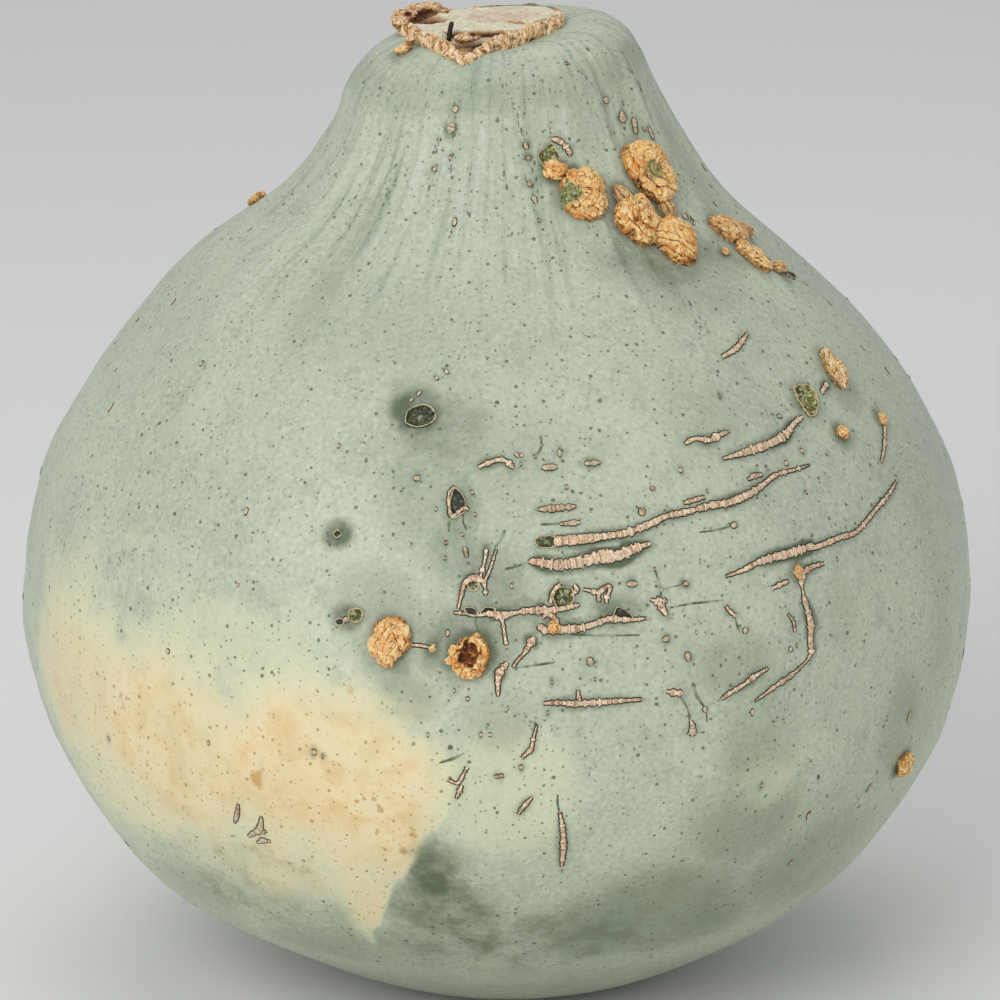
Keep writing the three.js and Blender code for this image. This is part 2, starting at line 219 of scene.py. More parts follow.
# Thin green lines in the skin that have not corked over, drawn as the scars are.
VEINS = {
    "middle tail": (0.5, 149.5, [(0.5, 0, 0.4), (3, 0.5, 0.4), (6.5, 1.5, 0.4)]),
    "upper tail": (5, 159.5, [(0.5, 0, 0.4), (3, 0, 0.4), (5.5, 0, 0.4)]),
    "burst": (1.5, 125.5, [(0, 0, 0.4), (6, 0.5, 0.4), (11, 1, 0.4)]),
    "dash tail": (25.5, 155, [(0, 0, 0.2), (5, 0, 0.4), (10, 0.5, 0.4)]),
    "star down": (19, 147.5, [(0, 0, 0.4), (0.5, -2.5, 0.4), (1, -5, 0.4), (0.5, -8, 0.4)]),
    "star right": (19.5, 142.5, [(-0.5, 0, 0.2), (2.5, 0.5, 0.2), (6, 1, 0.2)]),
    "star far": (20.5, 138, [(-0.5, 0, 0.2), (5, 0.5, 0.4), (10.5, 0.5, 0.4), (14.5, 0.5, 0.2)]),
    "tadpole": (21, 115, [(0, 0, 0.4), (2, -3.5, 0.4), (2.5, -6.5, 0.4)]),
    "beside tadpole": (22.5, 118.5, [
        (0, 0, 0.8), (0.5, -2, 0.8), (1.5, -4.5, 0.6), (3.5, -7.5, 0.4), (4, -11, 0.4)]),
    "hook": (-0.5, 154, [(0, 0.5, 0.4), (1.5, 2.5, 0.4), (2.5, 5, 0.6)]),
    "above arch": (6, 179, [(0, 0, 0.4), (0, -3, 0.4), (-1.5, -5.5, 0.4)]),
    "under pit": (-4.5, 162, [(0, 0, 0.2), (0, -2, 0.2), (1, -4, 0.4)]),
    "under pit left": (-6, 161.5, [(0, 0, 0.4), (-0.5, -2, 0.4), (-0.5, -4, 0.2)]),
    "slit tail": (28.5, 134, [(-0.5, 0, 0.4), (0, -2.5, 0.4), (0.5, -4.5, 0.2)]),
    "drip": (6.5, 91, [(0.5, 0, 0.2), (0.5, -2.5, 0.4), (1, -5, 0.4)]),
    "chain": (-2.5, 138, [(-0.5, 0, 0.4), (0, -2.5, 0.4), (0, -4.5, 0.4)]),
    "low": (7, 133.5, [(0, 0, 0.4), (10.5, -1, 0.4), (21, -1.5, 0.2)]),
    "black hair": (-6.5, 100, [(-0.5, 0, 0.2), (3.5, 1.5, 0.6), (6, 3, 0.2)]),
}

# Scratches on the ground spot that have half corked over, drawn as the scars are.
CLAWS = [
    (-33.5, 75, [(0, 0, 0.3), (1.6, 3.2, 1.1), (3, 7, 0.3)]),
    (-32, 71.5, [(0, 0, 0.3), (2, 1.6, 1.3), (4.5, 3.6, 1.6), (6, 8, 0.3)]),
    (-31, 70, [(0, 0, 0.4), (2.4, 1.2, 1.2), (4.6, 1.4, 0.4)]),
]

# Small corky flecks: bearing, height, length, width and tilt, counter-clockwise from level.
FLECKS = [
    (2.5, 175, 2.2, 0.8, -50), (3, 173, 1.2, 1, 0), (5, 174.5, 1.4, 0.8, 20), (8.5, 175, 2.2, 1.6, 0),
    (7, 172, 5, 1.4, 0), (13, 172.5, 5.2, 1.4, 2), (9, 167.5, 1.6, 1.2, 0), (7.5, 163, 11, 1.6, 2),
    (9, 159.5, 6, 1.2, 2), (-6.5, 155.5, 1.6, 1.2, 10), (-4.5, 157.5, 1.4, 1.2, 30),
    (-4, 153.5, 3.4, 0.8, -75), (-6.5, 152, 1.4, 1.2, 0), (-8, 163, 1.4, 1.2, 0),
    (-3.5, 167, 1.6, 1.2, 30), (-3, 162, 1.4, 1.2, 0), (1.5, 145.5, 1.4, 1.2, 0),
    (25, 169.5, 2.2, 1.6, 0), (20.5, 166, 2, 1.2, 90), (28, 164, 1.2, 1.2, 0), (18.5, 161, 3.4, 1.6, 80),
    (30.5, 155.5, 2.8, 1.4, 20), (19, 147.5, 1.2, 1.2, 0), (19.5, 142.5, 1.4, 1.4, 0),
    (22.5, 143.5, 2.4, 1.4, 20), (16, 144.5, 3.6, 1.2, 0), (35.5, 184, 1.4, 1.4, 0),
    (45, 176.5, 2.4, 0.8, 0), (46, 168, 2, 1.2, 0), (42, 166.5, 2.2, 1.4, 0), (36, 165.5, 4.2, 1.4, 0),
    (38.5, 165.5, 1.4, 1.2, 20), (43.5, 159, 1.4, 1.2, 0), (45, 142, 1.2, 1.2, 0),
    (29.5, 130, 2.4, 1.2, 80), (35.5, 123, 2, 1.4, 50), (36.5, 123.5, 1.4, 1.2, 0),
    (19.5, 130.5, 2.8, 1.2, 10), (22, 125.5, 3.4, 1.2, -80), (24, 111, 2.2, 1.2, -80),
    (10.5, 126, 3.4, 1.4, -70), (6, 121.5, 1.2, 1.2, 0), (11, 121.5, 1.2, 1.2, 0),
    (1, 115, 1.2, 1.2, 0), (5.5, 113.5, 1.2, 1.2, 0), (2.5, 99, 2, 1.6, 0), (0, 96.5, 3.4, 1.4, 10),
    (-2, 108, 1.4, 1.2, 0), (-1, 108, 1.4, 0.8, 0), (-3.5, 117.5, 1.6, 0.8, 0), (-5, 119.5, 1.2, 1.2, 0),
    (-29.5, 74, 2.4, 0.8, 30), (-30, 71.5, 2.4, 0.8, 10),
    (-21.5, 100, 2.4, 1.6, 0), (-20.5, 99, 1.4, 1.2, 0), (-8, 107.5, 1.4, 1.2, 0),
    (-20.5, 30, 1.6, 1.2, 0), (57.5, 93, 3.8, 1.2, 70), (53, 74.5, 3.6, 1.2, 60),
    (-53, 89.5, 1.4, 1.2, 0), (-18, 135.5, 2.4, 1.4, 20), (-13.5, 186.5, 1.8, 0.8, 60),
    (-12.5, 188, 2, 0.8, 60), (-8.5, 193, 2, 1.2, 45), (-10, 191.5, 1.6, 1.2, 45),
    (-11, 169.5, 2.4, 1.4, 0), (-23, 175, 1.4, 1.2, 0),
    (-17, 254.5, 2.8, 1.4, 90), (-18, 249.5, 4.2, 2.2, 75), (-22, 246.5, 1.4, 0.8, 90),
    (-17, 241.5, 1.6, 1.6, 0), (-21.5, 238.5, 2, 1.6, 60), (9.5, 243.5, 2.8, 1.4, -80),
    (10, 240.5, 2.4, 1.4, -80), (9.5, 234, 2.2, 2, 20), (10.5, 230, 3, 1.2, -75), (11, 225, 1.6, 1.4, 0),
    (32, 262, 1.4, 1.2, 0), (45, 251, 2.8, 1.4, -80), (51, 245.5, 4.6, 2.4, 75), (54, 248.5, 1.2, 1.2, 0),
    (55.5, 242.5, 5.6, 1.4, 70), (59, 241, 2.2, 1.2, 80), (61.5, 239.5, 4.6, 1.2, 80),
    (57, 220, 2.8, 1.4, -75), (80.5, 197.5, 1.4, 1.2, 0), (83.5, 191, 1.4, 1.2, 0), (32, 87, 1.6, 1.2, 0),
]

# Sunken pits: bearing, height, depth, how green and how orange the floor is, and the outline.
PITS = {
    "shoulder": (-12, 183, 2.0, 0.25, 0.1, [
        (-3, -2), (-3, 1.5), (0.5, 3.4), (3.2, 2.8), (4.6, 0), (3, -2), (0, -3)]),
    "kite": (-5.2, 164.5, 1.2, 0.1, 0.15, [(-1, 4), (1.4, 1.6), (1.8, -2), (-1.4, -4), (-2.2, 0.4)]),
    "left dot": (-20.5, 155.5, 0.6, 0.2, 0, [(1.1, 0), (0, 1.1), (-1.1, 0), (0, -1.1)]),
    "chain left": (-3.2, 139.5, 0.4, 0.05, 0, [
        (-1.8, 0.8), (0.4, 0.9), (1.8, -0.3), (0.8, -1.2), (-1, -0.8)]),
    "chain right": (-1.3, 139.5, 0.5, 0.05, 0, [
        (-1.9, -0.4), (-0.5, 1.1), (1.9, 0.7), (1.5, -0.8), (-0.6, -0.9)]),
    "hook eye": (-3, 146, 0.3, 0.6, 0.15, [(-1.4, 0.2), (0.1, 1.6), (1.5, 0.3), (1.1, -1.3), (-0.7, -1.5)]),
    "branch crater": (7.5, 142.3, 1.4, 0.5, 0.1, [
        (-2.6, 0.8), (-0.6, 2.6), (2.4, 2.2), (2.9, -0.4), (1.4, -2.6), (-1.4, -2.6)]),
    "corner": (14.5, 137.5, 0.5, 0.1, 0, [(-1.4, 1.9), (1, 0.7), (2.7, -1.2), (0.2, -1.7), (-2.6, -1.6)]),
    "scar head": (5.8, 155.5, 0.5, 0.35, 0, [
        (-3, 0), (-1.6, 1.4), (1.8, 1.4), (3.1, 0), (1.6, -1.5), (-1.6, -1.4)]),
    "square": (16.8, 240.5, 1.6, 0.75, 0.0, [(-2.6, 0.4), (1.7, 3.2), (2.9, -1.2), (-1.4, -3.2)]),
    "crater": (52.2, 178.3, 2.0, 0.85, 0.43, [
        (-2.6, 4), (-0.6, 4.4), (3.4, 3.4), (4.6, 1), (3, -2.4), (0, -4.8), (-2.2, -4.4),
        (-3, -2), (-3.2, 1)]),
    "ring": (-16.9, 136.8, 0.4, 0.7, 0.2, [
        (-1.7, 0.8), (0, 1.8), (1.7, 1.2), (1.8, -1), (0.2, -1.9), (-1.6, -1.2)]),
    "ring dot": (-18.8, 134.8, 0.3, 0, 0, [(1.2, 0.1), (0.2, 0.9), (-1.2, 0.3), (-0.6, -0.9), (0.8, -0.8)]),
    "eye": (76.8, 201, 0.5, 0, 0, [(-3.4, 1.4), (0, 1.6), (3.6, -0.6), (3, -1.8), (-0.6, -1.2)]),
    "shoulder slot": (58.5, 219, 0.3, 0, 0, [(-0.5, 0.8), (0.1, 1.5), (0.5, 0), (0, -1.5), (-0.6, -0.6)]),
}

# Soft patches, each a bearing, height, half-width, half-height and strength: skin colour, greener skin with
# painted shade, painted shade and painted glints.
GROUND_SPOT = [
    (-22, 95, 44, 30, 1.05), (-16, 84, 26, 34, 1.05), (-42, 93, 50, 32, 0.98), (-60, 98, 40, 34, 0.75),
    (-17, 60, 11, 32, 0.85), (-30, 68, 42, 24, 0.6), (-52, 78, 34, 24, 0.68)]
SPOT_TAIL = [(-16, 62, 16, 40, 1.0)]

# The spot's sharp right edge: its bearing, the heights below which it leans left, and how softly it ends.
GROUND_EDGE = {
    "bearing": -4.3, "height": 101, "slope": 0.12, "foot": 86, "foot slope": 0.155, "soft": 0.8}
YELLOW_TINGE = [
    (-23, 130, 16, 16, 0.6), (-50, 136, 24, 18, 0.3), (-34, 126, 40, 14, 0.75),
    (-62, 124, 30, 24, 0.7), (32.5, 87, 12, 10, 0.6),
    (-60, 70, 30, 30, 0.6), (1, 91, 24, 24, 0.95), (-48, 116, 30, 14, 0.8), (150, 90, 50, 26, 0.35)]
BRUISE = [
    (-9, 67, 10, 16, 0.9), (-6, 54, 19, 20, 0.6), (-6, 44, 22, 18, 0.65), (6, 42, 36, 20, 0.4),
    (-34, 50, 40, 14, 0.35), (-33, 60, 34, 14, 0.35)]
OCHRE_SPOTS = [
    (-29, 90, 2.4, 3.5, 0.8), (-32, 79, 2, 4, 0.6), (-10, 79, 1.6, 3.2, 0.95), (-11.5, 73.5, 1.2, 2.2, 0.8),
    (-17, 118, 1.5, 2, 0.6), (-28, 69, 18, 12, 0.32), (-38, 96, 2, 2.6, 0.5), (-20.5, 114, 2, 2, 0.4),
    (-25, 86, 18, 18, 0.3)]
# Greener skin round the warts, scars and pits, with painted shade there as well.
SMUDGES_AND_SHADE = [
    (-9, 182, 17, 13, 0.35), (-12.5, 184, 9, 9, 0.75), (-4, 132, 22, 13, 0.4), (-1, 146, 13, 13, 0.35),
    (-15, 133, 12, 9, 0.2), (14, 138, 9, 6, 0.45), (40, 214, 26, 13, 0.42), (63, 211, 22, 10, 0.35),
    (-3.2, 129.5, 9, 8, 0.9), (-20.5, 155.5, 5, 5, 0.8),
    (40, 209.5, 16, 5, 0.35), (32, 214, 13, 6, 0.4), (-5, 163, 6, 10, 0.35), (56, 212, 14, 8, 0.3),
    (-14, 189, 8, 4, 0.3), (2, 140, 14, 5, 0.4), (7.5, 142, 6, 6, 0.5), (-18, 136, 6, 5, 0.6),
    (55, 168, 6, 5, 0.4), (62, 176, 9, 7, 0.3), (-12.5, 128, 10, 9, 0.4), (44, 128, 9, 13, 0.2),
    (52, 178, 8, 8, 0.5), (0, 112, 12, 12, 0.25)]
# Painted shade: darker patches where less light falls, at the foot, the lower right and the back, on the
# neck's flanks and grooves, and under the stem's rim.
PAINTED_SHADES = [
    (-36, 208, 11, 24, 0.35), (-37, 222, 7, 20, 0.4), (-24, 203, 42, 24, 0.32), (22, 50, 36, 26, 0.8),
    (31, 75, 24, 22, 0.6), (22, 45, 48, 22, 0.8), (-30, 58, 18, 12, 0.5), (-10, 58, 14, 18, 0.6),
    (-13, 56, 10, 10, 0.6), (-5, 72, 8, 8, 0.5), (0, 263, 60, 5, 0.3), (-6, 128, 10, 12, 0.4),
    (44, 54, 38, 28, 0.6), (31, 98, 16, 30, 0.5), (32, 178, 15, 16, 0.35), (-6, 154, 10, 12, 0.6),
    (-4, 176, 36, 18, 0.35), (-9, 167, 18, 24, 0.5), (56, 92, 14, 24, 0.45),
    (-15, 142, 17, 11, 0.45), (23, 120, 14, 16, 0.25), (0, 257, 220, 8, 0.45), (20, 246, 60, 10, 0.25),
    (44, 69, 30, 22, 0.35), (25, 66, 26, 14, 0.35), (28, 121, 15, 12, 0.55),
    (-11, 116, 12, 9, 0.7), (64, 99, 12, 40, 0.3),
    (45, 206, 25, 12, 0.4), (-20, 36, 44, 20, 0.6), (-48, 45, 26, 16, 0.4),
    (12, 240, 3, 30, 0.4), (34, 247, 5, 14, 0.35), (74, 230, 9, 26, 0.4), (120, 225, 10, 28, 0.4),
    (-110, 226, 10, 28, 0.4), (170, 228, 9, 26, 0.4), (120, 60, 60, 26, 0.4), (-130, 60, 60, 26, 0.4)]
# Painted glints: white specks where light glints off the wax on the left of the neck.
PAINTED_GLINTS = [(-34, 176, 14, 8, 0.75), (-25, 180, 12, 6, 0.6)]

# Rows of dark pores on the neck: bearing and height of the top, then of the foot, half-width, strength.
PORE_ROWS = [
    (0.5, 263, 10, 244.5, 1.0, 1.0), (11, 242.5, 12, 220, 1.1, 1.0), (16.5, 263, 23, 252, 0.8, 0.9),
    (37, 260, 44, 250, 0.8, 0.8), (-33, 260, -25, 254, 0.8, 0.7), (-17.5, 257, -16, 236, 0.9, 0.9),
    (-23, 246, -21, 232, 0.9, 0.8), (-36, 243, -34.5, 229, 0.9, 0.7), (-48, 230, -42, 219, 1.2, 1.0),
    (28.5, 238, 29.5, 226, 0.9, 0.6), (-10, 243, -7.5, 222, 1.0, 0.6), (0.5, 240, 3.5, 220, 1.0, 0.6),
    (40, 205, 39, 196, 1.0, 0.8), (62, 258, 70, 240, 0.9, 0.7), (95, 252, 98, 226, 1.0, 0.8),
    (128, 256, 134, 232, 1.0, 0.7), (160, 250, 158, 224, 1.0, 0.8), (-170, 255, -168, 230, 1.0, 0.7),
    (-134, 248, -130, 222, 1.0, 0.8), (-98, 256, -101, 230, 1.0, 0.7), (-70, 252, -66, 232, 1.0, 0.7)]

# The cut stub of the stem, seen from above, and the leaning plane of its face.
STUB_OUTLINE = np.array([
    (-9, -27), (-2.5, -21), (3.5, -15.5), (10, -8.5), (15.5, -2), (16.5, 5), (13, 12.5), (5, 15.5),
    (-5.5, 15.5), (-16, 14), (-25.5, 12.5), (-28.5, 7), (-25, -1), (-20, -11), (-14, -21),
], float)
STUB_CENTRE = np.array((-6.5, -1.0))
STUB_TOP = 266.6
STUB_LEAN = {"front": math.radians(3.5), "left": math.radians(3.3)}


# ---------------------------------------------------------------- shape of the rind


def smooth(low, high, value):
    """0 below low, 1 above high and a smooth rise between them."""
    share = np.clip((value - low) / (high - low), 0, 1)
    return share * share * (3 - 2 * share)


def spline(rows, place, closed=False, pull=0.5):
    """The smooth curve through evenly spaced rows, at places from 0 to 1."""
    rows = np.asarray(rows, float)
    if closed:
        padded = np.vstack([rows[-1:], rows, rows[:2]])
        spans = len(rows)
    else:
        padded = np.vstack([2 * rows[0] - rows[1], rows, 2 * rows[-1] - rows[-2]])
        spans = len(rows) - 1
    at = np.clip(place, 0, 1) * spans
    first = np.minimum(at.astype(int), spans - 1)
    t = (at - first)[..., None]
    before, start, end, after = (padded[first + k] for k in range(4))
    leave = pull * (end - before)
    arrive = pull * (after - start)
    cubic = 2 * (start - end) + leave + arrive
    square = 3 * (end - start) - 2 * leave - arrive
    return start + t * (leave + t * (square + t * cubic))


CLIMB = np.linspace(0, 1, 3001)
HEIGHT = spline(STATIONS, CLIMB)[:, 0]
RADIUS = spline(STATIONS, CLIMB)[:, 1:].mean(1)
ARC = np.concatenate([[0], np.cumsum(np.hypot(np.diff(HEIGHT), np.diff(RADIUS)))])
BROW = int(HEIGHT.argmax())


def rib_factor(bearing, height):
    """How far the grooves between the ribs draw the radius in."""
    on_neck = smooth(*SHOULDER, height)
    neck = on_neck * (1 - smooth(*RIB_HEAD, height))
    belly = smooth(*RIB_FOOT, height) * (1 - on_neck)
    wander = sum(size * np.sin(turns * bearing + phase) for turns, size, phase in RIB_WANDER)
    groove = 0.5 - 0.5 * np.cos(RIB_COUNT * bearing + RIB_SWAY * wander)
    return 1 - groove * (RIB_DEPTH["neck"] * neck + RIB_DEPTH["belly"] * belly)


def soft_lumps(bearing, height):
    """Slow dents and swells of the skin, a few tenths of a millimetre deep, and the fine neck folds."""
    draw = np.random.default_rng(LUMPS["seed"])
    total = 0
    for length in np.linspace(LUMPS["shortest"], LUMPS["longest"], LUMPS["waves"]):
        along, across = draw.normal(size=2) / length
        turns = round(LUMPS["girth"] * across * WAVE)
        phase = turns * bearing + WAVE * along * height + draw.uniform(0, 6.3)
        total = total + (length / LUMPS["longest"]) * np.sin(phase)
    upright = np.sin(NECK_FOLDS["count"] * bearing + 3 * np.sin(3 * bearing) + 0.02 * height)
    on_neck = smooth(NECK_FOLDS["low"], NECK_FOLDS["high"], height)
    return LUMPS["depth"] * total + NECK_FOLDS["depth"] * upright * on_neck


def turn_from(bearing, degrees):
    """The bearings in radians, counted the short way round from one in degrees."""
    return (bearing - math.radians(degrees) + np.pi) % (2 * np.pi) - np.pi


def arc_at(height):
    """How far along the rind's outline a height is, up to the brow."""
    return np.interp(height, HEIGHT[:BROW], ARC[:BROW])


def radius_at(height):
    """The rind's radius at a height, up to the brow."""
    return np.interp(height, HEIGHT[:BROW], RADIUS[:BROW])


def rind_shape(bearing, climb):
    """Points of the rind for bearings in radians and climbs from 0 at the foot to 1 at the stem."""
    bearing, climb = np.broadcast_arrays(bearing, climb)
    height, left, right = np.moveaxis(spline(STATIONS, climb), -1, 0)
    radius = (left + right) / 2 + (right - left) / 2 * np.sin(bearing)
    radius = radius * rib_factor(bearing, height)
    for swell_bearing, swell_height, spread, rise in SWELLS:
        away = np.hypot(turn_from(bearing, swell_bearing) * radius, height - swell_height) / spread
        radius = radius + rise * np.exp(-away * away / 2)
    radius = radius + soft_lumps(bearing, height) * smooth(0, 12, height) * smooth(0, 20, radius)
    x = radius * np.sin(bearing)
    y = -radius * np.cos(bearing)
    lean = smooth(NECK_LEAN["low"], NECK_LEAN["high"], height)
    droop = BROW_DROOP["depth"] * smooth(0, BROW_DROOP["reach"], -y)
    z = height + lean * (math.tan(math.radians(NECK_LEAN["left"])) * x - droop)
    return np.stack([x, y, z], -1)


def spot(bearing, height, right=0.0, up=0.0):
    """The bearing in radians and the climb of a place, moved over the rind by right and up."""
    arc = arc_at(height) + up
    return math.radians(bearing) + right / np.interp(arc, ARC, RADIUS), np.interp(arc, ARC, CLIMB)


def unit(vectors):
    """The vectors, each made one long."""
    return vectors / np.maximum(np.linalg.norm(vectors, axis=-1, keepdims=True), 1e-9)


def lie(bearing, climb):
    """Where a place is, with the directions right, up and outward along the rind."""
    step = 1e-3
    here = rind_shape(bearing, climb)
    right = unit(rind_shape(bearing + step, climb) - here)
    up = rind_shape(bearing, climb + step / 3) - here
    outward = unit(np.cross(right, up))
    return here, right, np.cross(outward, right), outward


def blob(bearing, height, patches):
    """How strongly soft patches cover places, each given as bearing, height, half-sizes and strength."""
    cover = np.zeros(np.broadcast(bearing, height).shape)
    for centre, middle, wide, tall, strength in patches:
        across = turn_from(bearing, centre) * radius_at(height) / wide
        upward = (arc_at(height) - arc_at(middle)) / tall
        cover = np.maximum(cover, strength * (1 - smooth(0.35, 1.25, np.hypot(across, upward))))
    return cover


def rough(points, grain, seed):
    """Smooth noise from -1 to 1 with bumps about grain across, in the points' own unit."""
    shift = Vector((seed * 7.31, seed * 3.17, seed * 5.77))
    return np.array([noise.noise(Vector(p) / grain + shift) for p in points])


def in_frame(points):
    """Points in metres, sized by the rind's settings."""
    rind = bpy.context.scene.squash_rind
    wide = rind.width / (BODY_HIGH.x - BODY_LOW.x)
    tall = rind.height / (BODY_HIGH.z - BODY_LOW.z)
    return np.asarray(points, float) * MM * np.array((wide, wide, tall))


# ---------------------------------------------------------------- meshes, nodes and trees


def set_attributes(mesh, attributes):
    """Stores values on a mesh's points, as numbers or as vectors."""
    for key, values in attributes.items():
        values = np.asarray(values, np.float32)
        kind, field = ("FLOAT_VECTOR", "vector") if values.ndim == 2 else ("FLOAT", "value")
        mesh.attributes.new(key, kind, "POINT").data.foreach_set(field, values.ravel())


def mesh_of(name, points, faces, attributes):
    """A smooth mesh from points in millimetres, with its point attributes."""
    mesh = bpy.data.meshes.new(name)
    mesh.from_pydata(in_frame(points).tolist(), [], [tuple(map(int, f)) for f in faces])
    set_attributes(mesh, attributes)
    mesh.shade_smooth()
    mesh.update()
    return mesh


def stand(name, mesh, material, slot, *replaced):
    """Puts a finished mesh in the scene as a piece of the squash."""
    piece = bpy.data.objects.new(name, mesh)
    bpy.context.scene.collection.objects.link(piece)
    mesh.name = name
    mesh.materials.clear()
    mesh.materials.append(material)
    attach(piece, "root")
    if replaced:
        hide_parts(*replaced)


def joined(parts):
    """Joins (points, faces, attributes) parts into one."""
    points = []
    faces = []
    attributes = {}
    start = 0
    for part_points, part_faces, part_attributes in parts:
        points.append(part_points)
        faces.extend([tuple(i + start for i in face) for face in part_faces])
        for key, values in part_attributes.items():
            attributes.setdefault(key, []).append(np.broadcast_to(values, len(part_points)))
        start += len(part_points)
    return np.vstack(points), faces, {key: np.concatenate(values) for key, values in attributes.items()}


def ring_faces(rows, columns):
    """Quads between rows of a closed grid, facing out where rows climb and columns go to the right."""
    faces = []
    for low in range(0, (rows - 1) * columns, columns):
        high = low + columns
        for column in range(columns):
            beside = (column + 1) % columns
            faces.append((low + column, low + beside, high + beside, high + column))
    return faces


def closed_faces(rows, columns):
    """The grid's quads, and a fan to each of the two points that follow it: the foot's and the top's."""
    foot = rows * columns
    top = foot - columns
    faces = ring_faces(rows, columns)
    around = [(column, (column + 1) % columns) for column in range(columns)]
    faces += [(beside, column, foot) for column, beside in around]
    faces += [(top + column, top + beside, foot + 1) for column, beside in around]
    return faces


# The kinds of node that are used most.
MATH = "ShaderNodeMath"
VECTOR_MATH = "ShaderNodeVectorMath"
NOISE = "ShaderNodeTexNoise"
RAMP = "ShaderNodeValToRGB"


def linear(colour):
    """A linear colour with full alpha, from an sRGB hex value or from a colour setting."""
    if not isinstance(colour, str):
        return (*colour, 1.0)
    parts = [int(colour[i : i + 2], 16) / 255 for i in (1, 3, 5)]
    return tuple(c / 12.92 if c <= 0.04045 else ((c + 0.055) / 1.055) ** 2.4 for c in parts) + (1.0,)


def feed(tree, node, inputs):
    """Feeds a node's inputs, given by name or in order: a node or socket is linked, the rest are values."""
    sockets = [socket for socket in node.inputs if socket.enabled]
    by_key = dict(enumerate(sockets)) | {socket.name: socket for socket in reversed(sockets)}
    for key, value in inputs.items() if isinstance(inputs, dict) else enumerate(inputs):
        socket = by_key[key]
        if isinstance(value, bpy.types.Node):
            value = next(output for output in value.outputs if output.enabled)
        if isinstance(value, bpy.types.NodeSocket):
            tree.links.new(value, socket)
        else:
            socket.default_value = value


def add(tree, kind, inputs=(), stops=(), **settings):
    """Adds a node with its settings, its links and the stops of its colour ramp."""
    made = tree.nodes.new(kind)
    for name, value in settings.items():
        setattr(made, name, value)
    feed(tree, made, inputs)
    if stops:
        ramp = made.color_ramp.elements
        while len(ramp) < len(stops):
            ramp.new(0.5)
        for element, (place, colour) in zip(ramp, stops):
            element.position = place
            element.color = linear(colour)
    return made


def new_material(name):
    """A node material with its tree, its shader, and its Object coordinates."""
    material = bpy.data.materials.new(name)
    material.use_nodes = True
    tree = material.node_tree
    place = add(tree, "ShaderNodeTexCoord").outputs["Object"]
    return material, tree, tree.nodes["Principled BSDF"], place


def per(size):
    """The texture scale whose features are about size millimetres across."""
    return 1 / (size * MM)


SOCKETS = {float: "NodeSocketFloat", int: "NodeSocketInt"}


def open_tree(name, inputs):
    """Starts a geometry tree with numbers and a material as inputs, and returns it with their sockets."""
    tree = bpy.data.node_groups.new(name, "GeometryNodeTree")
    tree.interface.new_socket("Geometry", in_out="OUTPUT", socket_type="NodeSocketGeometry")
    tree.interface.new_socket("Geometry", in_out="INPUT", socket_type="NodeSocketGeometry")
    for key, default in inputs.items():
        socket = tree.interface.new_socket(key, in_out="INPUT", socket_type=SOCKETS[type(default)])
        socket.default_value = default
    tree.interface.new_socket("Material", in_out="INPUT", socket_type="NodeSocketMaterial")
    return tree, tree.nodes.new("NodeGroupInput").outputs


def close_tree(tree, geometry, material):
    """Ends a geometry tree with plain smooth geometry in its material."""
    plain = add(tree, "GeometryNodeRealizeInstances", {"Geometry": geometry})
    shaded = add(tree, "GeometryNodeSetShadeSmooth", {"Geometry": plain})
    dressed = add(tree, "GeometryNodeSetMaterial", {"Geometry": shaded, "Material": material})
    end = tree.nodes.new("NodeGroupOutput")
    tree.links.new(dressed.outputs[0], end.inputs[0])


def grown(tree, base, inputs):
    """Runs a geometry tree on a base mesh and returns the plain mesh that it makes."""
    helper = bpy.data.objects.new("helper", base)
    bpy.context.scene.collection.objects.link(helper)
    modifier = helper.modifiers.new("grow", "NODES")
    modifier.node_group = tree
    for item in tree.interface.items_tree:
        if item.in_out == "INPUT" and item.name in inputs:
            modifier[item.identifier] = inputs[item.name]
    shown = helper.evaluated_get(bpy.context.evaluated_depsgraph_get())
    mesh = bpy.data.meshes.new_from_object(shown)
    bpy.data.objects.remove(helper)
    return mesh


# ---------------------------------------------------------------- materials


def layered(tree, skin, layers):
    """Lays colours over a skin. Each layer shows where its mask passes smoothly from low to high."""
    for mask, low, high, most, colour in layers:
        inputs = {"Value": mask, "From Min": low, "From Max": high, "To Max": most}
        share = add(tree, "ShaderNodeMapRange", inputs, interpolation_type="SMOOTHSTEP")
        colour = linear(colour) if isinstance(colour, str) else colour
        skin = add(tree, "ShaderNodeMix", {"Factor": share, "A": skin, "B": colour}, data_type="RGBA")
    return skin


def read_masks(tree, keys):
    """The named attributes of the mesh, as sockets."""
    return {key: add(tree, "ShaderNodeAttribute", attribute_name=key).outputs["Fac"] for key in keys}


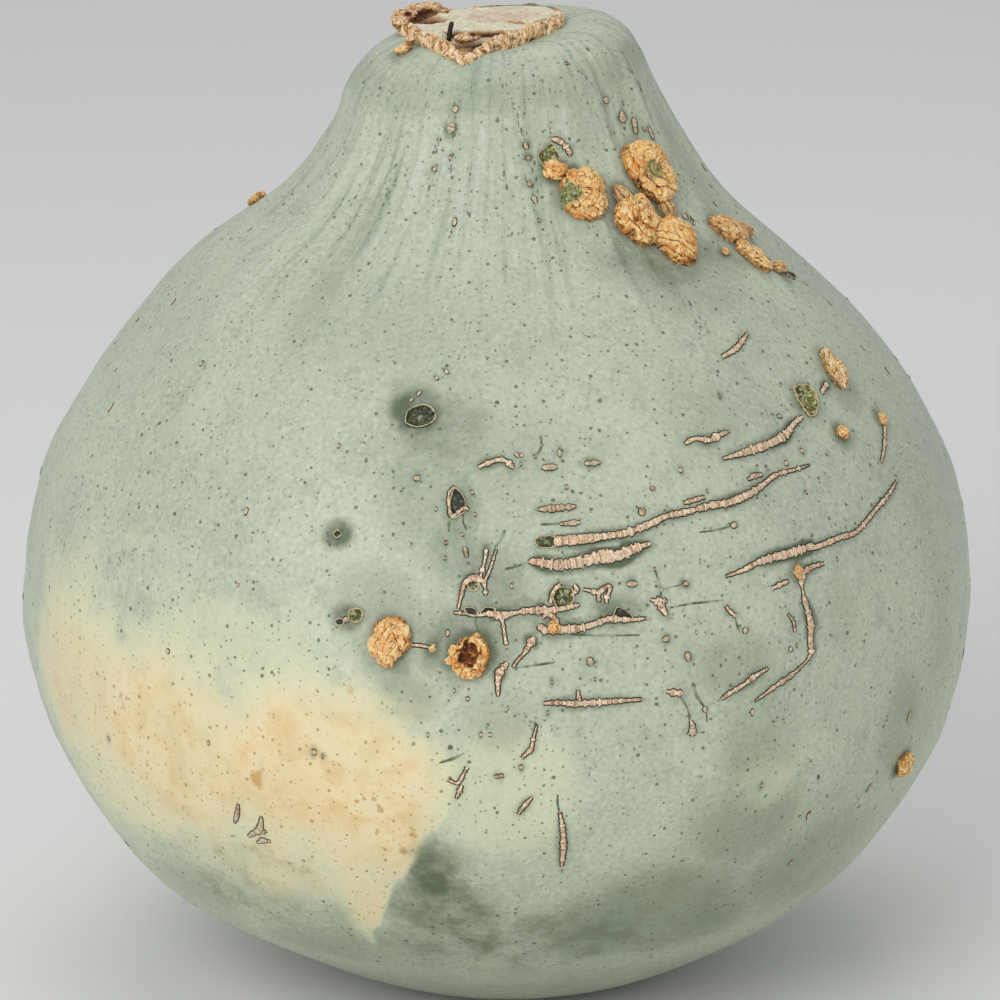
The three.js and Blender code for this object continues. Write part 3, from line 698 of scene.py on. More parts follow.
def waxy_rind():
    """Living squash rind, grown: a hard satin skin under a grey-green wax bloom.

    The eye gets slow blotches of grey and yellow-green, olive pores of half a millimetre to one and a
    half, dashes and upright streaks on the neck, a cream ground spot and greener skin round every scar,
    with painted shade in patches, at the foot and round the warts, and a sprinkle of painted glints.
    """
    colours = bpy.context.scene.squash_rind
    material, tree, shader, place = new_material("waxy squash rind")
    unrolled = add(tree, "ShaderNodeAttribute", attribute_name="unrolled").outputs["Vector"]
    keys = ("blotch", "ground", "tinge", "bruise", "green", "painted_shade", "ochre", "neck", "dash", "painted_glint")
    masks = read_masks(tree, keys)

    mottle = add(tree, NOISE, {"Vector": place, "Scale": per(8), "Detail": 6.0, "Roughness": 0.62})
    grain = add(tree, NOISE, {"Vector": place, "Scale": per(1.3), "Detail": 2.0})
    wobble = add(tree, MATH, (mottle, 0.5), operation="SUBTRACT")
    drawn = add(tree, VECTOR_MATH, (unrolled, (1.0, 1.0, 0.07)), operation="MULTIPLY")
    streak = add(tree, NOISE, {"Vector": drawn, "Scale": per(3), "Detail": 3.0})
    streak = add(tree, MATH, (streak, 0.5), operation="SUBTRACT")
    streak = add(tree, MATH, (streak, masks["neck"]), operation="MULTIPLY")

    edged = {}
    for key, reach in (("ground", 0.75), ("tinge", 0.9), ("bruise", 1.8), ("painted_shade", 0.6), ("ochre", 1.8)):
        edged[key] = add(tree, MATH, (wobble, reach, masks[key]), operation="MULTIPLY_ADD")
    green_and_shade = add(tree, MATH, (masks["green"], mottle), operation="MULTIPLY")
    both = add(tree, MATH, (wobble, 0.8, masks["blotch"]), operation="MULTIPLY_ADD")
    skin = add(tree, RAMP, {"Fac": both}, stops=[
        (0.2, colours.blue_skin), (0.5, colours.skin), (0.8, colours.pale_skin)])
    cream = add(tree, RAMP, {"Fac": mottle}, stops=[
        (0.35, "#E3BF86"), (0.5, colours.ground_spot), (0.65, "#F1E0BA")])
    skin = layered(tree, skin, [
        (grain, 0.5, 0.7, 0.4, "#D6DCCB"), (grain, 0.47, 0.3, 0.4, "#8F9D86"),
        (wobble, 0.04, 0.22, 0.3, "#CBD1C0"), (wobble, -0.04, -0.22, 0.3, "#99A692"),
        (streak, 0.02, 0.25, 0.45, "#CDD5C5"), (streak, -0.03, -0.22, 0.5, "#84927F"),
        # Painted shade.
        (edged["painted_shade"], 0.05, 1.1, 0.85, "#68785F"),
        (edged["tinge"], 0.1, 0.9, 0.55, "#DBDEB8"),
        (edged["ground"], 0.02, 0.65, 0.8, "#E2DFB9"),
        (edged["ground"], 0.38, 1.12, 0.95, cream),
        (edged["ochre"], 0.25, 1.0, 0.75, "#C3903A"),
        (edged["bruise"], 0.05, 1.3, 0.9, "#45552F"),
        # Greener skin round the scars, with painted shade round the warts and in the smudges.
        (green_and_shade, 0.0, 0.42, 0.9, "#46553B"),
    ])

    # Pores: ragged olive dots of three sizes. On the neck they draw out into upright dashes.
    shake = add(tree, NOISE, {"Vector": place, "Scale": per(0.7), "Detail": 2.0})
    shake = shake.outputs["Color"]
    upright = add(tree, VECTOR_MATH, (unrolled, (1.0, 1.0, 0.45)), operation="MULTIPLY")
    dash = add(tree, MATH, (streak, -0.8, masks["dash"]), operation="MULTIPLY_ADD")
    layers = []
    for vector, cell, chance, widest, strength, colour in (
        (place, 1.4, 0.25, 0.32, 0.65, "#66745A"), (place, 2.4, 0.3, 0.26, 0.8, "#4F5E45"),
        (place, 6.0, 0.5, 0.1, 0.85, "#3F4D36"), (upright, 1.0, 0.2, dash, 0.75, "#465440"),
    ):
        inputs = (shake, (0.0006, 0.0006, 0.0006), vector)
        vector = add(tree, VECTOR_MATH, inputs, operation="MULTIPLY_ADD")
        cells = add(tree, "ShaderNodeTexVoronoi", {"Vector": vector, "Scale": per(cell)})
        luck = add(tree, "ShaderNodeSeparateColor", {"Color": cells.outputs["Color"]})
        size = add(tree, "ShaderNodeMapRange", {
            "Value": luck.outputs["Red"], "From Min": chance, "To Min": 0.0, "To Max": widest})
        near = add(tree, MATH, (wobble, 0.2, cells.outputs["Distance"]), operation="MULTIPLY_ADD")
        inside = add(tree, MATH, (size, near), operation="SUBTRACT")
        olive = layered(tree, linear(colour), [(edged["ground"], 0.25, 0.75, 0.85, "#AF975A")])
        layers.append((inside, -0.01, 0.12 / cell, strength, olive))

    # Ochre flecks on the cream spot and a sprinkle of painted white glints share one scatter of 2.4 mm
    # cells.
    cells = add(tree, "ShaderNodeTexVoronoi", {"Vector": place, "Scale": per(2.4)})
    for key, broken, low, high, strength, colour in (
        ("ground", mottle, 0.47, 0.6, 0.6, "#B98D3F"), ("painted_glint", grain, 0.4, 0.48, 0.9, "#F4F6F1"),
    ):
        inside = add(tree, MATH, (masks[key], cells.outputs["Distance"]), operation="SUBTRACT")
        inside = add(tree, MATH, (inside, broken), operation="MULTIPLY")
        layers.append((inside, low, high, strength, colour))
    skin = layered(tree, skin, layers)

    gloss = add(tree, "ShaderNodeMapRange", {"Value": mottle, "To Min": 0.4, "To Max": 0.6})
    relief = add(tree, MATH, (grain, streak), operation="ADD")
    bump = add(tree, "ShaderNodeBump", {"Strength": 0.3, "Distance": 0.0003, "Height": relief})
    feed(tree, shader, {"Base Color": skin, "Roughness": gloss, "IOR": 1.45, "Sheen Weight": 0.1,
                        "Sheen Roughness": 0.45, "Normal": bump})
    return material


def frayed(tree, mask, grain, much, shift):
    """A mask whose edge the grain frays."""
    shaken = add(tree, MATH, (grain, much, shift), operation="MULTIPLY_ADD")
    return add(tree, MATH, (mask, shaken), operation="ADD")


def cork_material(name, attributes, pitch, strength, wrinkles=0.0, roughness=0.8):
    """A dry matt cork: its tree, shader and masks, which are its attributes, a crumbly grain, slow
    cloudiness, and wrinkles that follow the cloudiness as contour lines do. Grain and wrinkles bump it."""
    material, tree, shader, place = new_material(name)
    masks = read_masks(tree, attributes)
    grain = add(tree, NOISE, {
        "Vector": place, "Scale": per(pitch), "Detail": 4.0, "Roughness": 0.68, "Distortion": 0.6})
    slow = add(tree, NOISE, {"Vector": place, "Scale": per(4.5), "Detail": 2.5, "Distortion": 1.2})
    height = grain
    if wrinkles:
        steps = add(tree, MATH, (slow, wrinkles), operation="MULTIPLY")
        steps = add(tree, MATH, (steps,), operation="FRACT")
        masks["wrinkle"] = steps
        height = add(tree, MATH, (steps, 0.35, grain), operation="MULTIPLY_ADD")
    bump = add(tree, "ShaderNodeBump", {"Strength": strength, "Distance": 0.0004, "Height": height})
    feed(tree, shader, {"Roughness": roughness, "Normal": bump})
    return material, tree, shader, masks | {"grain": grain, "slow": slow, "place": place}


def wart_cork():
    """Natural cork of a wart, grown in folds: matt, orange-tan with painted highlights on its crests, brown
    with painted shade in its creases.
    """
    colours = bpy.context.scene.squash_warts
    keys = ("crease_and_shade", "age", "hollow", "flesh")
    material, tree, shader, masks = cork_material("natural wart cork", keys, 1.1, 0.8, wrinkles=9.0)
    grain, slow, wrinkle = masks["grain"], masks["slow"], masks["wrinkle"]
    # The crease mask is the cork's brown cracks with painted shade in them and round the foot; its pale end
    # is a painted highlight on the crests.
    depth = frayed(tree, masks["crease_and_shade"], grain, 0.9, -0.38)
    fresh = add(tree, RAMP, {"Fac": depth}, stops=[
        (0.05, "#FFE3AC"), (0.21, "#F9C374"), (0.38, colours.cork), (0.62, "#A5652A"),
        (0.82, "#5E4018"), (1.0, "#2E200E")])
    old = add(tree, RAMP, {"Fac": depth}, stops=[
        (0.02, "#F0DDBE"), (0.28, "#D8B587"), (0.6, "#A07C50"), (1.0, "#3C2C1A")])
    green = add(tree, RAMP, {"Fac": grain}, stops=[
        (0.34, "#33481F"), (0.5, "#66773F"), (0.64, "#CDC99B")])
    dark = add(tree, RAMP, {"Fac": grain}, stops=[
        (0.35, "#2A1404"), (0.52, "#743B12"), (0.62, "#CF8A3E")])
    # The pale wrinkle layer is a painted highlight and the dark one painted shade; the hollow is dark brown
    # tissue with painted shade.
    skin = layered(tree, fresh, [
        (slow, 0.51, 0.61, 0.6, "#E58A22"), (slow, 0.47, 0.38, 0.4, "#F0B860"),
        (masks["age"], 0.0, 1.0, 1.0, old), (wrinkle, 0.6, 0.88, 0.55, "#FFE09C"),
        (wrinkle, 0.14, 0.02, 0.75, "#6B4517"), (masks["flesh"], 0.1, 0.9, 0.9, green),
        (masks["hollow"], 0.1, 0.9, 1.0, dark)])
    feed(tree, shader, {"Base Color": skin})
    return material


def scar_cork():
    """Wound cork of a healed scratch, grown in crosswise plates: dry pinkish tan with a dark green lip."""
    colours = bpy.context.scene.squash_scars
    keys = ("lip", "ring", "vein")
    material, tree, shader, masks = cork_material("pink wound cork", keys, 0.8, 0.7)
    grain, slow = masks["grain"], masks["slow"]
    edge = frayed(tree, masks["lip"], grain, 1.2, -0.6)
    banded = frayed(tree, masks["ring"], grain, 1.2, -0.6)
    skin = add(tree, RAMP, {"Fac": grain}, stops=[
        (0.35, "#A2764E"), (0.47, colours.cork), (0.58, "#FFECD2")])
    green = add(tree, RAMP, {"Fac": slow}, stops=[(0.4, "#515F45"), (0.5, "#74826A"), (0.6, "#9BA78F")])
    skin = layered(tree, skin, [
        (slow, 0.5, 0.62, 0.6, "#CDBDA2"), (banded, 0.08, 0.3, 0.75, "#8A6045"),
        (banded, 0.42, 0.75, 0.95, "#FBE4C6"), (edge, -0.25, 0.1, 1.0, "#20240F"),
        (masks["vein"], 0.2, 0.8, 1.0, green)])
    feed(tree, shader, {"Base Color": skin})
    return material


def pit_tissue():
    """Dried tissue in a pit of the rind: a thin pale lip round a glossy black-green floor with painted
    glints.
    """
    keys = ("lip", "green", "orange")
    material, tree, shader, masks = cork_material("dried pit tissue", keys, 1.1, 0.9, roughness=0.45)
    grain = masks["grain"]
    patch = add(tree, NOISE, {"Vector": masks["place"], "Scale": per(2.4), "Detail": 2.0})
    # The palest end of the floor's grain is painted glints on the glossy floor.
    skin = add(tree, RAMP, {"Fac": grain}, stops=[
        (0.35, "#12160D"), (0.52, "#2A3121"), (0.64, "#5B6650"), (0.73, "#A3A993")])
    flesh = add(tree, RAMP, {"Fac": grain}, stops=[
        (0.38, "#1B2B10"), (0.46, "#4A5C22"), (0.53, "#95923F"), (0.61, "#DAD9B8")])
    amber = add(tree, RAMP, {"Fac": grain}, stops=[(0.35, "#9C6420"), (0.6, "#E3B05A")])
    ripe = add(tree, MATH, (patch, masks["orange"]), operation="ADD")
    rim = frayed(tree, masks["lip"], grain, 2.4, -1.2)
    skin = layered(tree, skin, [
        (masks["green"], 0.0, 1.0, 1.0, flesh), (ripe, 0.95, 1.15, 1.0, amber),
        (rim, 0.35, 0.85, 1.0, "#CDBB98")])
    feed(tree, shader, {"Base Color": skin})
    return material


def cut_stem_wood():
    """Soft stem wood, torn across and dried: pale grey-cream fibres, pinkish at one side, brown hollows
    with painted shade.
    """
    colours = bpy.context.scene.squash_stem
    keys = ("hollow", "pink", "moss")
    material, tree, shader, masks = cork_material("dried stem wood", keys, 0.9, 0.8)
    grain, slow = masks["grain"], masks["slow"]
    skin = add(tree, RAMP, {"Fac": grain}, stops=[
        (0.3, "#BDB28C"), (0.44, "#E0D6B4"), (0.54, colours.face), (0.68, "#F7F0DA")])
    pink = add(tree, MATH, (masks["pink"], slow), operation="MULTIPLY")
    moss = add(tree, MATH, (masks["moss"], grain), operation="MULTIPLY")
    # Brown in the hollows, with painted shade deepening it to near black.
    stain_and_shade = frayed(tree, masks["hollow"], grain, 0.8, -0.4)
    skin = layered(tree, skin, [
        (pink, 0.2, 0.6, 0.6, "#D2A993"), (slow, 0.54, 0.68, 0.3, "#A5A072"),
        (moss, 0.3, 0.5, 0.85, "#6E7A3C"),
        (stain_and_shade, 0.15, 0.5, 0.85, "#A9713C"), (stain_and_shade, 0.5, 0.95, 1.0, "#3A1A0C")])
    feed(tree, shader, {"Base Color": skin})
    return material


def stem_bark():
    """Corky bark of the stem base, shrunk and wrinkled in drying: dull tan folds with brown cracks, painted
    highlights and painted shade.
    """
    colours = bpy.context.scene.squash_stem
    keys = ("crease_and_shade", "olive", "hollow")
    material, tree, shader, masks = cork_material("wrinkled stem bark", keys, 1.2, 0.8, wrinkles=8.0)
    grain, slow, wrinkle = masks["grain"], masks["slow"], masks["wrinkle"]
    # The crease mask is the brown cracks with painted shade in them; its pale end is a painted highlight on
    # the folds.
    depth = frayed(tree, masks["crease_and_shade"], grain, 0.9, -0.4)
    skin = add(tree, RAMP, {"Fac": depth}, stops=[
        (0.02, "#FDE3BC"), (0.22, colours.bark), (0.48, "#BD884A"), (0.72, "#744A20"),
        (1.0, "#3B2610")])
    olive = add(tree, RAMP, {"Fac": grain}, stops=[(0.35, "#4E4A33"), (0.65, "#A39A72")])
    dark = add(tree, RAMP, {"Fac": grain}, stops=[(0.35, "#1E0C06"), (0.6, "#7C3A1A")])
    # The pale wrinkle layer is a painted highlight and the dark one painted shade; the dark ramp is painted
    # shade under the rolled bark and in the lumps' holes.
    skin = layered(tree, skin, [
        (slow, 0.52, 0.66, 0.4, "#DDA566"), (wrinkle, 0.7, 0.95, 0.35, "#FBEBD2"),
        (wrinkle, 0.12, 0.02, 0.65, "#7C4F26"), (masks["olive"], 0.0, 1.0, 1.0, olive),
        (masks["hollow"], 0.1, 0.9, 1.0, dark)])
    feed(tree, shader, {"Base Color": skin})
    return material


def dried_fibre():
    """A dried sliver of stem, black and stiff, with a dull sheen along its fibres."""
    material, tree, shader, place = new_material("dried black fibre")
    drawn = add(tree, VECTOR_MATH, (place, (1.0, 1.0, 0.15)), operation="MULTIPLY")
    grain = add(tree, NOISE, {"Vector": drawn, "Scale": per(0.4), "Detail": 3.0})
    skin = add(tree, RAMP, {"Fac": grain}, stops=[(0.35, "#0E0A08"), (0.65, "#33261D")])
    feed(tree, shader, {"Base Color": skin, "Roughness": 0.55})
    return material


def studio_paper():
    """Matt white background paper, rolled out flat, with faint cloudiness in its tone."""
    colour = bpy.context.scene.squash_stage.floor
    material, tree, shader, place = new_material("matt background paper")
    cloud = add(tree, NOISE, {"Vector": place, "Scale": per(900), "Detail": 0.0})
    skin = add(tree, RAMP, {"Fac": cloud}, stops=[(0.3, [0.97 * part for part in colour]), (0.7, colour)])
    feed(tree, shader, {"Base Color": skin, "Roughness": 0.9})
    return material


# ---------------------------------------------------------------- the rind

# The rind's grid is finer at the front and between two heights, and the foot has rings of its own.
COLUMNS = 384
ROWS = 248
FRONT_FINE = 0.55
MIDDLE_FINE = {"low": 95, "high": 190, "gain": 0.75, "fade": 20}
FOOT_SHARES = (0.07, 0.16, 0.25, 0.33, 0.4, 0.47, 0.56, 0.7, 0.86)
BLOSSOM_HOLLOW = {"depth": 2.4, "inner": 9, "outer": 16}

# How far the rind sinks under a pit's dish, and the box round its middle in which it does.
PIT_BED = {"deeper": 0.7, "low": 0.5, "high": 1.15, "thick": 4, "wide": 14}
PIT_SIDES = 48

# The greener skin round scars and warts, with painted shade round the warts: spacing of the samples, reach,
# and strength by half-width.
HALO = {"spacing": 0.8, "reach": 1.4, "least": 0.15, "full": 1.6, "wart reach": 3, "wart": 0.6}


def pit_ring(outline):
    """The smoothed outline of a pit, going round its middle."""
    return spline(outline, np.arange(PIT_SIDES) / PIT_SIDES, closed=True, pull=0.35)


def dent_pits(points):
    """Sinks the rind under every pit, so that its dish lies below the skin."""
    dented = points.copy()
    for bearing, height, depth, _, _, outline in PITS.values():
        here, right, up, outward = lie(*spot(bearing, height))
        offset = points - here
        flat_x = offset @ right
        flat_y = offset @ up
        away = np.hypot(flat_x, flat_y)
        near = (np.abs(offset @ outward) < PIT_BED["thick"]) & (away < PIT_BED["wide"])
        ring = pit_ring(outline)
        ring = ring[np.arctan2(ring[:, 1], ring[:, 0]).argsort()]
        angles, radii = np.arctan2(ring[:, 1], ring[:, 0]), np.hypot(*ring.T)
        reach = np.interp(np.arctan2(flat_y, flat_x), angles, radii, period=2 * np.pi)
        inside = 1 - smooth(PIT_BED["low"], PIT_BED["high"], away / reach)
        sink = (depth + PIT_BED["deeper"]) * inside * near
        dented = dented - sink[:, None] * outward
    return dented


def nearness(points, samples):
    """How near each point is to the sample lines: 1 beside a wide one, and less beside a thin one."""
    tree = kdtree.KDTree(len(samples))
    for index, sample in enumerate(samples):
        tree.insert(sample[:3], index)
    tree.balance()
    cover = np.zeros(len(points))
    for index, point in enumerate(points):
        _, found, distance = tree.find(point)
        half_width = samples[found][3]
        strength = min(1.0, HALO["least"] + half_width / HALO["full"])
        cover[index] = strength * math.exp(-((max(distance - half_width, 0) / HALO["reach"]) ** 2))
    return cover


def dotted_rows(bearing, height):
    """Where dark pores crowd into upright rows, from 0 to 1."""
    cover = np.zeros_like(bearing)
    for top, high, bottom, low, wide, strength in PORE_ROWS:
        share = (height - low) / (high - low)
        middle = np.radians(bottom + (top - bottom) * np.clip(share, 0, 1))
        across = (bearing - middle) * radius_at(height) / wide
        ends = smooth(-0.08, 0.12, share) * smooth(1.08, 0.88, share)
        cover = np.maximum(cover, strength * ends * np.exp(-across * across))
    return cover


def scar_halo(grid, bearing, height):
    """How green the skin is round the scars, the flecks and the warts, with painted shade round the warts.
    """
    paths = list(SCARS.values()) + [fleck_path(fleck) for fleck in FLECKS]
    samples = [sample for path in paths for sample in scar_samples(path, HALO["spacing"])]
    green_and_shade = nearness(grid, samples) * (0.8 + 0.6 * rough(grid, 10, 6))
    # Greener skin with painted shade round each wart.
    for place, up, width, length, *_ in SHOULDER_WARTS + RIDGE_WARTS + BELLY_WARTS + BACK_WARTS:
        half_sizes = (width / 2 + HALO["wart reach"], length / 2 + HALO["wart reach"])
        green_and_shade = np.maximum(green_and_shade, blob(bearing, height, [(place, up, *half_sizes, HALO["wart"])]))
    return green_and_shade


def ground_side(grid, bearing, height):
    """1 where the ground spot may show, and 0 beyond its sharp lower right edge."""
    edge = GROUND_EDGE["bearing"] - GROUND_EDGE["slope"] * np.maximum(GROUND_EDGE["height"] - height, 0)
    edge = edge - GROUND_EDGE["foot slope"] * np.maximum(GROUND_EDGE["foot"] - height, 0)
    ragged = np.degrees(bearing) + 1.2 * rough(grid, 7, 8)
    return 1 - smooth(edge - GROUND_EDGE["soft"], edge + GROUND_EDGE["soft"], ragged)


def rind_masks(grid, bearing, height, arc):
    """What grows where on the skin, for every point of the rind, from 0 to 1."""
    kept = ground_side(grid, bearing, height)
    neck = smooth(170, 225, height)
    patchy = 1 + 0.5 * rough(grid, 16, 4)
    cloudy = 1 + 0.3 * rough(grid, 12, 4) + 0.2 * rough(grid, 30, 9)
    off_spot = 1 - 0.85 * kept * smooth(48, 58, height) * blob(bearing, height, SPOT_TAIL)
    # Painted shade, darker towards the foot all round.
    painted_foot_shade = 0.55 * smooth(62, 12, height)
    return {
        "blotch": 0.5 + 0.28 * (rough(grid, 32, 2) + 0.6 * rough(grid, 15, 3)),
        # Greener skin round the scars, with painted shade round the warts and in the smudges.
        "green": np.maximum(scar_halo(grid, bearing, height), blob(bearing, height, SMUDGES_AND_SHADE)),
        "ground": blob(bearing, height, GROUND_SPOT) * kept * cloudy,
        "tinge": blob(bearing, height, YELLOW_TINGE) * patchy,
        "bruise": blob(bearing, height, BRUISE) * patchy * off_spot,
        # Painted shade in patches and towards the foot.
        "painted_shade": np.maximum(blob(bearing, height, PAINTED_SHADES) * (0.6 + 0.4 * patchy), painted_foot_shade),
        "ochre": blob(bearing, height, OCHRE_SPOTS),
        # Painted glints.
        "painted_glint": blob(bearing, height, PAINTED_GLINTS),
        "neck": neck,
        "dash": 0.06 + 0.16 * neck + 0.6 * dotted_rows(bearing, height),
        "unrolled": np.stack([60 * np.sin(bearing), 60 * np.cos(bearing), arc], -1) * MM,
    }


def rind_mesh():
    """The whole skin, from the hollow round the blossom scar to the dish under the stem."""
    turns = np.linspace(-np.pi, np.pi, COLUMNS, endpoint=False)
    bearings = turns - FRONT_FINE * np.sin(turns)
    low, high, fade = arc_at(MIDDLE_FINE["low"]), arc_at(MIDDLE_FINE["high"]), MIDDLE_FINE["fade"]
    busy = 1 + MIDDLE_FINE["gain"] * smooth(low - fade, low, ARC) * smooth(high + fade, high, ARC)
    effort = np.concatenate([[0], np.cumsum(busy[1:] * np.diff(ARC))])
    climbs = np.interp(np.linspace(0, effort[-1], ROWS + 1)[:-1], effort, CLIMB)
    skin = rind_shape(bearings[None, :], climbs[:, None])
    skin[0, :, 2] = 0
    foot = skin[0] * np.array(FOOT_SHARES)[:, None, None]
    reach = np.hypot(foot[..., 0], foot[..., 1])
    flat_foot = smooth(BLOSSOM_HOLLOW["inner"], BLOSSOM_HOLLOW["outer"], reach)
    foot[..., 2] = BLOSSOM_HOLLOW["depth"] * (1 - flat_foot)
    grid = np.concatenate([foot, skin]).reshape(-1, 3)
    rows = len(foot) + ROWS
    all_climbs = np.repeat(np.concatenate([np.zeros(len(foot)), climbs]), COLUMNS)
    bearing = np.tile(bearings, rows)
    grid = dent_pits(grid)
    height = np.interp(all_climbs, CLIMB, HEIGHT)
    masks = rind_masks(grid, bearing, height, np.interp(all_climbs, CLIMB, ARC))
    points = np.vstack([grid, [(0, 0, BLOSSOM_HOLLOW["depth"])], rind_shape(np.zeros(1), np.ones(1))])
    for key, values in masks.items():
        masks[key] = np.concatenate([values, values[:1], values[-1:]])
    return mesh_of("squash_rind", points, closed_faces(rows, COLUMNS), masks)


# ---------------------------------------------------------------- warts


def unit_ball(detail):
    """Points and faces of a fine ball of radius one."""
    ball = bmesh.new()
    bmesh.ops.create_icosphere(ball, subdivisions=detail, radius=1)
    points = np.array([v.co[:] for v in ball.verts])
    faces = [tuple(v.index for v in face.verts) for face in ball.faces]
    ball.free()
    return points, faces


def folds(phase):
    """Folds that lap over each other: how high they stand, and how deep in the thin crease between."""
    share = phase % 1
    high = smooth(0, 0.75, share) * (1 - smooth(0.9, 1.0, share))
    return high, 1 - smooth(0.0, 0.2, share) * (1 - smooth(0.92, 1.0, share))


def folded_lump(style, seed, detail):
    """A ball of folded cork: its points, faces, and how deep in a crease each point lies, with painted
    shade added round its foot.
    """
    ball, faces = unit_ball(detail)
    warp = rough(ball, 0.9, seed)
    swirl = rough(ball, 0.45, seed + 11)
    fine = rough(ball, 0.13, seed + 3)
    if style == "grooves":
        around = np.arctan2(ball[:, 0], ball[:, 2])
        groove = smooth(0.55, 1.0, np.cos(8 * around + 1.5 * warp + 0.6 * fine))
        pinch = (1 - 0.3 * ball[:, 1] ** 2)[:, None] * (1, 0, 1) + (0, 1.12, 0)
        return ball * pinch * (1 - 0.09 * groove + 0.02 * fine)[:, None], faces, 0.28 + 0.6 * groove
    if style == "rings":
        centre = np.array((0.25, -0.2))
        phase = 2.3 * np.linalg.norm(ball[:, :2] - centre, axis=1) + 1.1 * warp + 0.5 * swirl
    elif style == "rows":
        phase = 2.9 * (ball @ np.array((0.9, 0.15, 0.3))) + 0.7 * warp + 0.35 * swirl
    else:
        phase = 2.0 * warp + 1.1 * swirl
    crest, crack = folds(phase)
    crumb, chip = folds(1.7 * rough(ball, 0.4, seed + 5) + 0.8 * swirl)
    ripple, slit = folds(2.2 * rough(ball, 0.26, seed + 7) + 1.2 * swirl)
    bulge = 1 + 0.36 * warp + 0.13 * (crest - 0.6) + 0.07 * (crumb - 0.6)
    bulge = bulge + 0.045 * (ripple - 0.6) + 0.03 * fine
    # Painted shade round the foot of the lump, where it meets the skin.
    foot = smooth(0.3, -0.1, ball[:, 2])
    crease_and_shade = np.clip(0.85 * crack + 0.5 * chip + 0.28 * slit + 0.15 * fine + 0.5 * foot, 0, 1)
    return ball * bulge[:, None], faces, crease_and_shade


def wart(place, seed):
    """A wart on the rind, ready to be joined with others."""
    bearing, height, width, length, rise, turn, style, age = place
    detail = 6 if width > 9 else 5 if width > 3 else 4
    ball, faces, crease_and_shade = folded_lump(style, seed, detail)
    here, right, up, outward = lie(*spot(bearing, height))
    angle = math.radians(turn)
    across = right * math.cos(angle) - up * math.sin(angle)
    along = right * math.sin(angle) + up * math.cos(angle)
    tall = np.where(ball[:, 2] > 0, ball[:, 2] * 0.72, ball[:, 2] * 0.5 - 0.1)
    offset = ball[:, :1] * across * width / 2 + ball[:, 1:2] * along * length / 2
    offset = offset + (tall + 0.28)[:, None] * outward * rise
    return here + offset, faces, {"crease_and_shade": crease_and_shade, "age": age, "hollow": 0.0, "flesh": 0.0}


def burst_wart():
    """The wart that has burst: a ring of cork lobes round a sunken hollow, painted dark brown with painted
    shade.
    """
    bearing, height, width, length, rise, share = BURST_WART
    ball, faces, crease_and_shade = folded_lump("crumpled", 23, 6)
    here, right, up, outward = lie(*spot(bearing, height))
    centre = np.array((0.08, 0.16))
    reach = np.linalg.norm(ball[:, :2] - centre, axis=1) / share
    reach = reach * (1 + 0.6 * rough(ball, 0.45, 31))
    inside = (1 - smooth(0.72, 1.0, reach)) * (ball[:, 2] > 0)
    tall = np.where(ball[:, 2] > 0, ball[:, 2] * 0.8, ball[:, 2] * 0.5 - 0.1) + 0.25
    tall = tall - inside * (tall - 0.15)
    offset = ball[:, :1] * right * width / 2 + ball[:, 1:2] * up * length / 2
    offset = offset + tall[:, None] * outward * rise
    attributes = {"crease_and_shade": crease_and_shade * (1 - inside), "age": 0.0, "hollow": inside, "flesh": 0.0}
    return here + offset, faces, attributes


# Shoulder warts, by their place in the table, where green flesh or a hollow painted dark brown with painted
# shade shows in the cork: which of the two it is, its bearing and height, how far it reaches, and its
# strength.
WART_MARKS = {
    0: ("flesh", 49, 231, 3.4, 0.6),
    1: ("hollow", 35, 221, 0.9, 1.0),
    4: ("flesh", 20.5, 230, 3.6, 1.0),
}


def tint(part, key, bearing, height, reach, most):
    """Marks a wart's cork round the place where its green flesh shows, or where a hollow is painted dark
    brown with painted shade.
    """
    points, _, attributes = part
    here, _, _, outward = lie(*spot(bearing, height))
    offset = points - here
    offset = offset - (offset @ outward)[:, None] * outward
    distance = np.linalg.norm(offset, axis=1) + 0.5 * reach * rough(points, 2.0, 41)
    attributes[key] = most * (1 - smooth(reach * 0.6, reach * 1.1, distance))


# ---------------------------------------------------------------- scars and flecks

# The width that a scar's line doesn't get thinner than.
THINNEST = 0.15


def fleck_path(fleck):
    """A fleck as a short scar that is widest in its middle."""
    bearing, height, length, width, tilt = fleck
    length = max(length - width * 0.5, 0.6)
    lean = np.array((math.cos(math.radians(tilt)), math.sin(math.radians(tilt))))
    shares = ((-0.5, 0.4), (-0.28, 0.9), (0, 1), (0.28, 0.9), (0.5, 0.4))
    return bearing, height, [(*(lean * length * share), width * wide) for share, wide in shares]


def smoothed_path(drawn, spacing):
    """A drawn scar's points with their widths, smoothed and about spacing apart."""
    drawn = np.array(drawn, float)
    length = np.hypot(*np.diff(drawn[:, :2], axis=0).T).sum()
    return spline(drawn, np.linspace(0, 1, max(4, int(length / spacing))))


def scar_samples(path, spacing):
    """Points along a scar with their half-width: x, y, z and half-width."""
    bearing, height, drawn = path
    line = smoothed_path(drawn, spacing)
    places = spot(bearing, height, line[:, 0], line[:, 1])
    return np.column_stack([rind_shape(*places), np.maximum(line[:, 2], THINNEST) / 2])


def scar_line(path, vein, spacing):
    """A scar's line over the rind for line_mesh."""
    bearing, height, drawn = path
    line = smoothed_path(drawn, spacing)
    here, _, _, outward = lie(*spot(bearing, height, line[:, 0], line[:, 1]))
    half_width = np.maximum(line[:, 2], THINNEST) / 2 * (1.0 if vein else 0.88)
    steps = np.concatenate([[0], np.cumsum(np.hypot(*np.diff(line[:, :2], axis=0).T))])
    to_end = np.minimum(steps, steps[-1] - steps)
    cap = np.clip(to_end / (1.3 * half_width), 0, 1)
    half_width = half_width * np.sqrt(0.08 + 0.92 * (1 - (1 - cap) ** 2))
    return np.column_stack([here, outward, half_width, np.full(len(line), vein)])


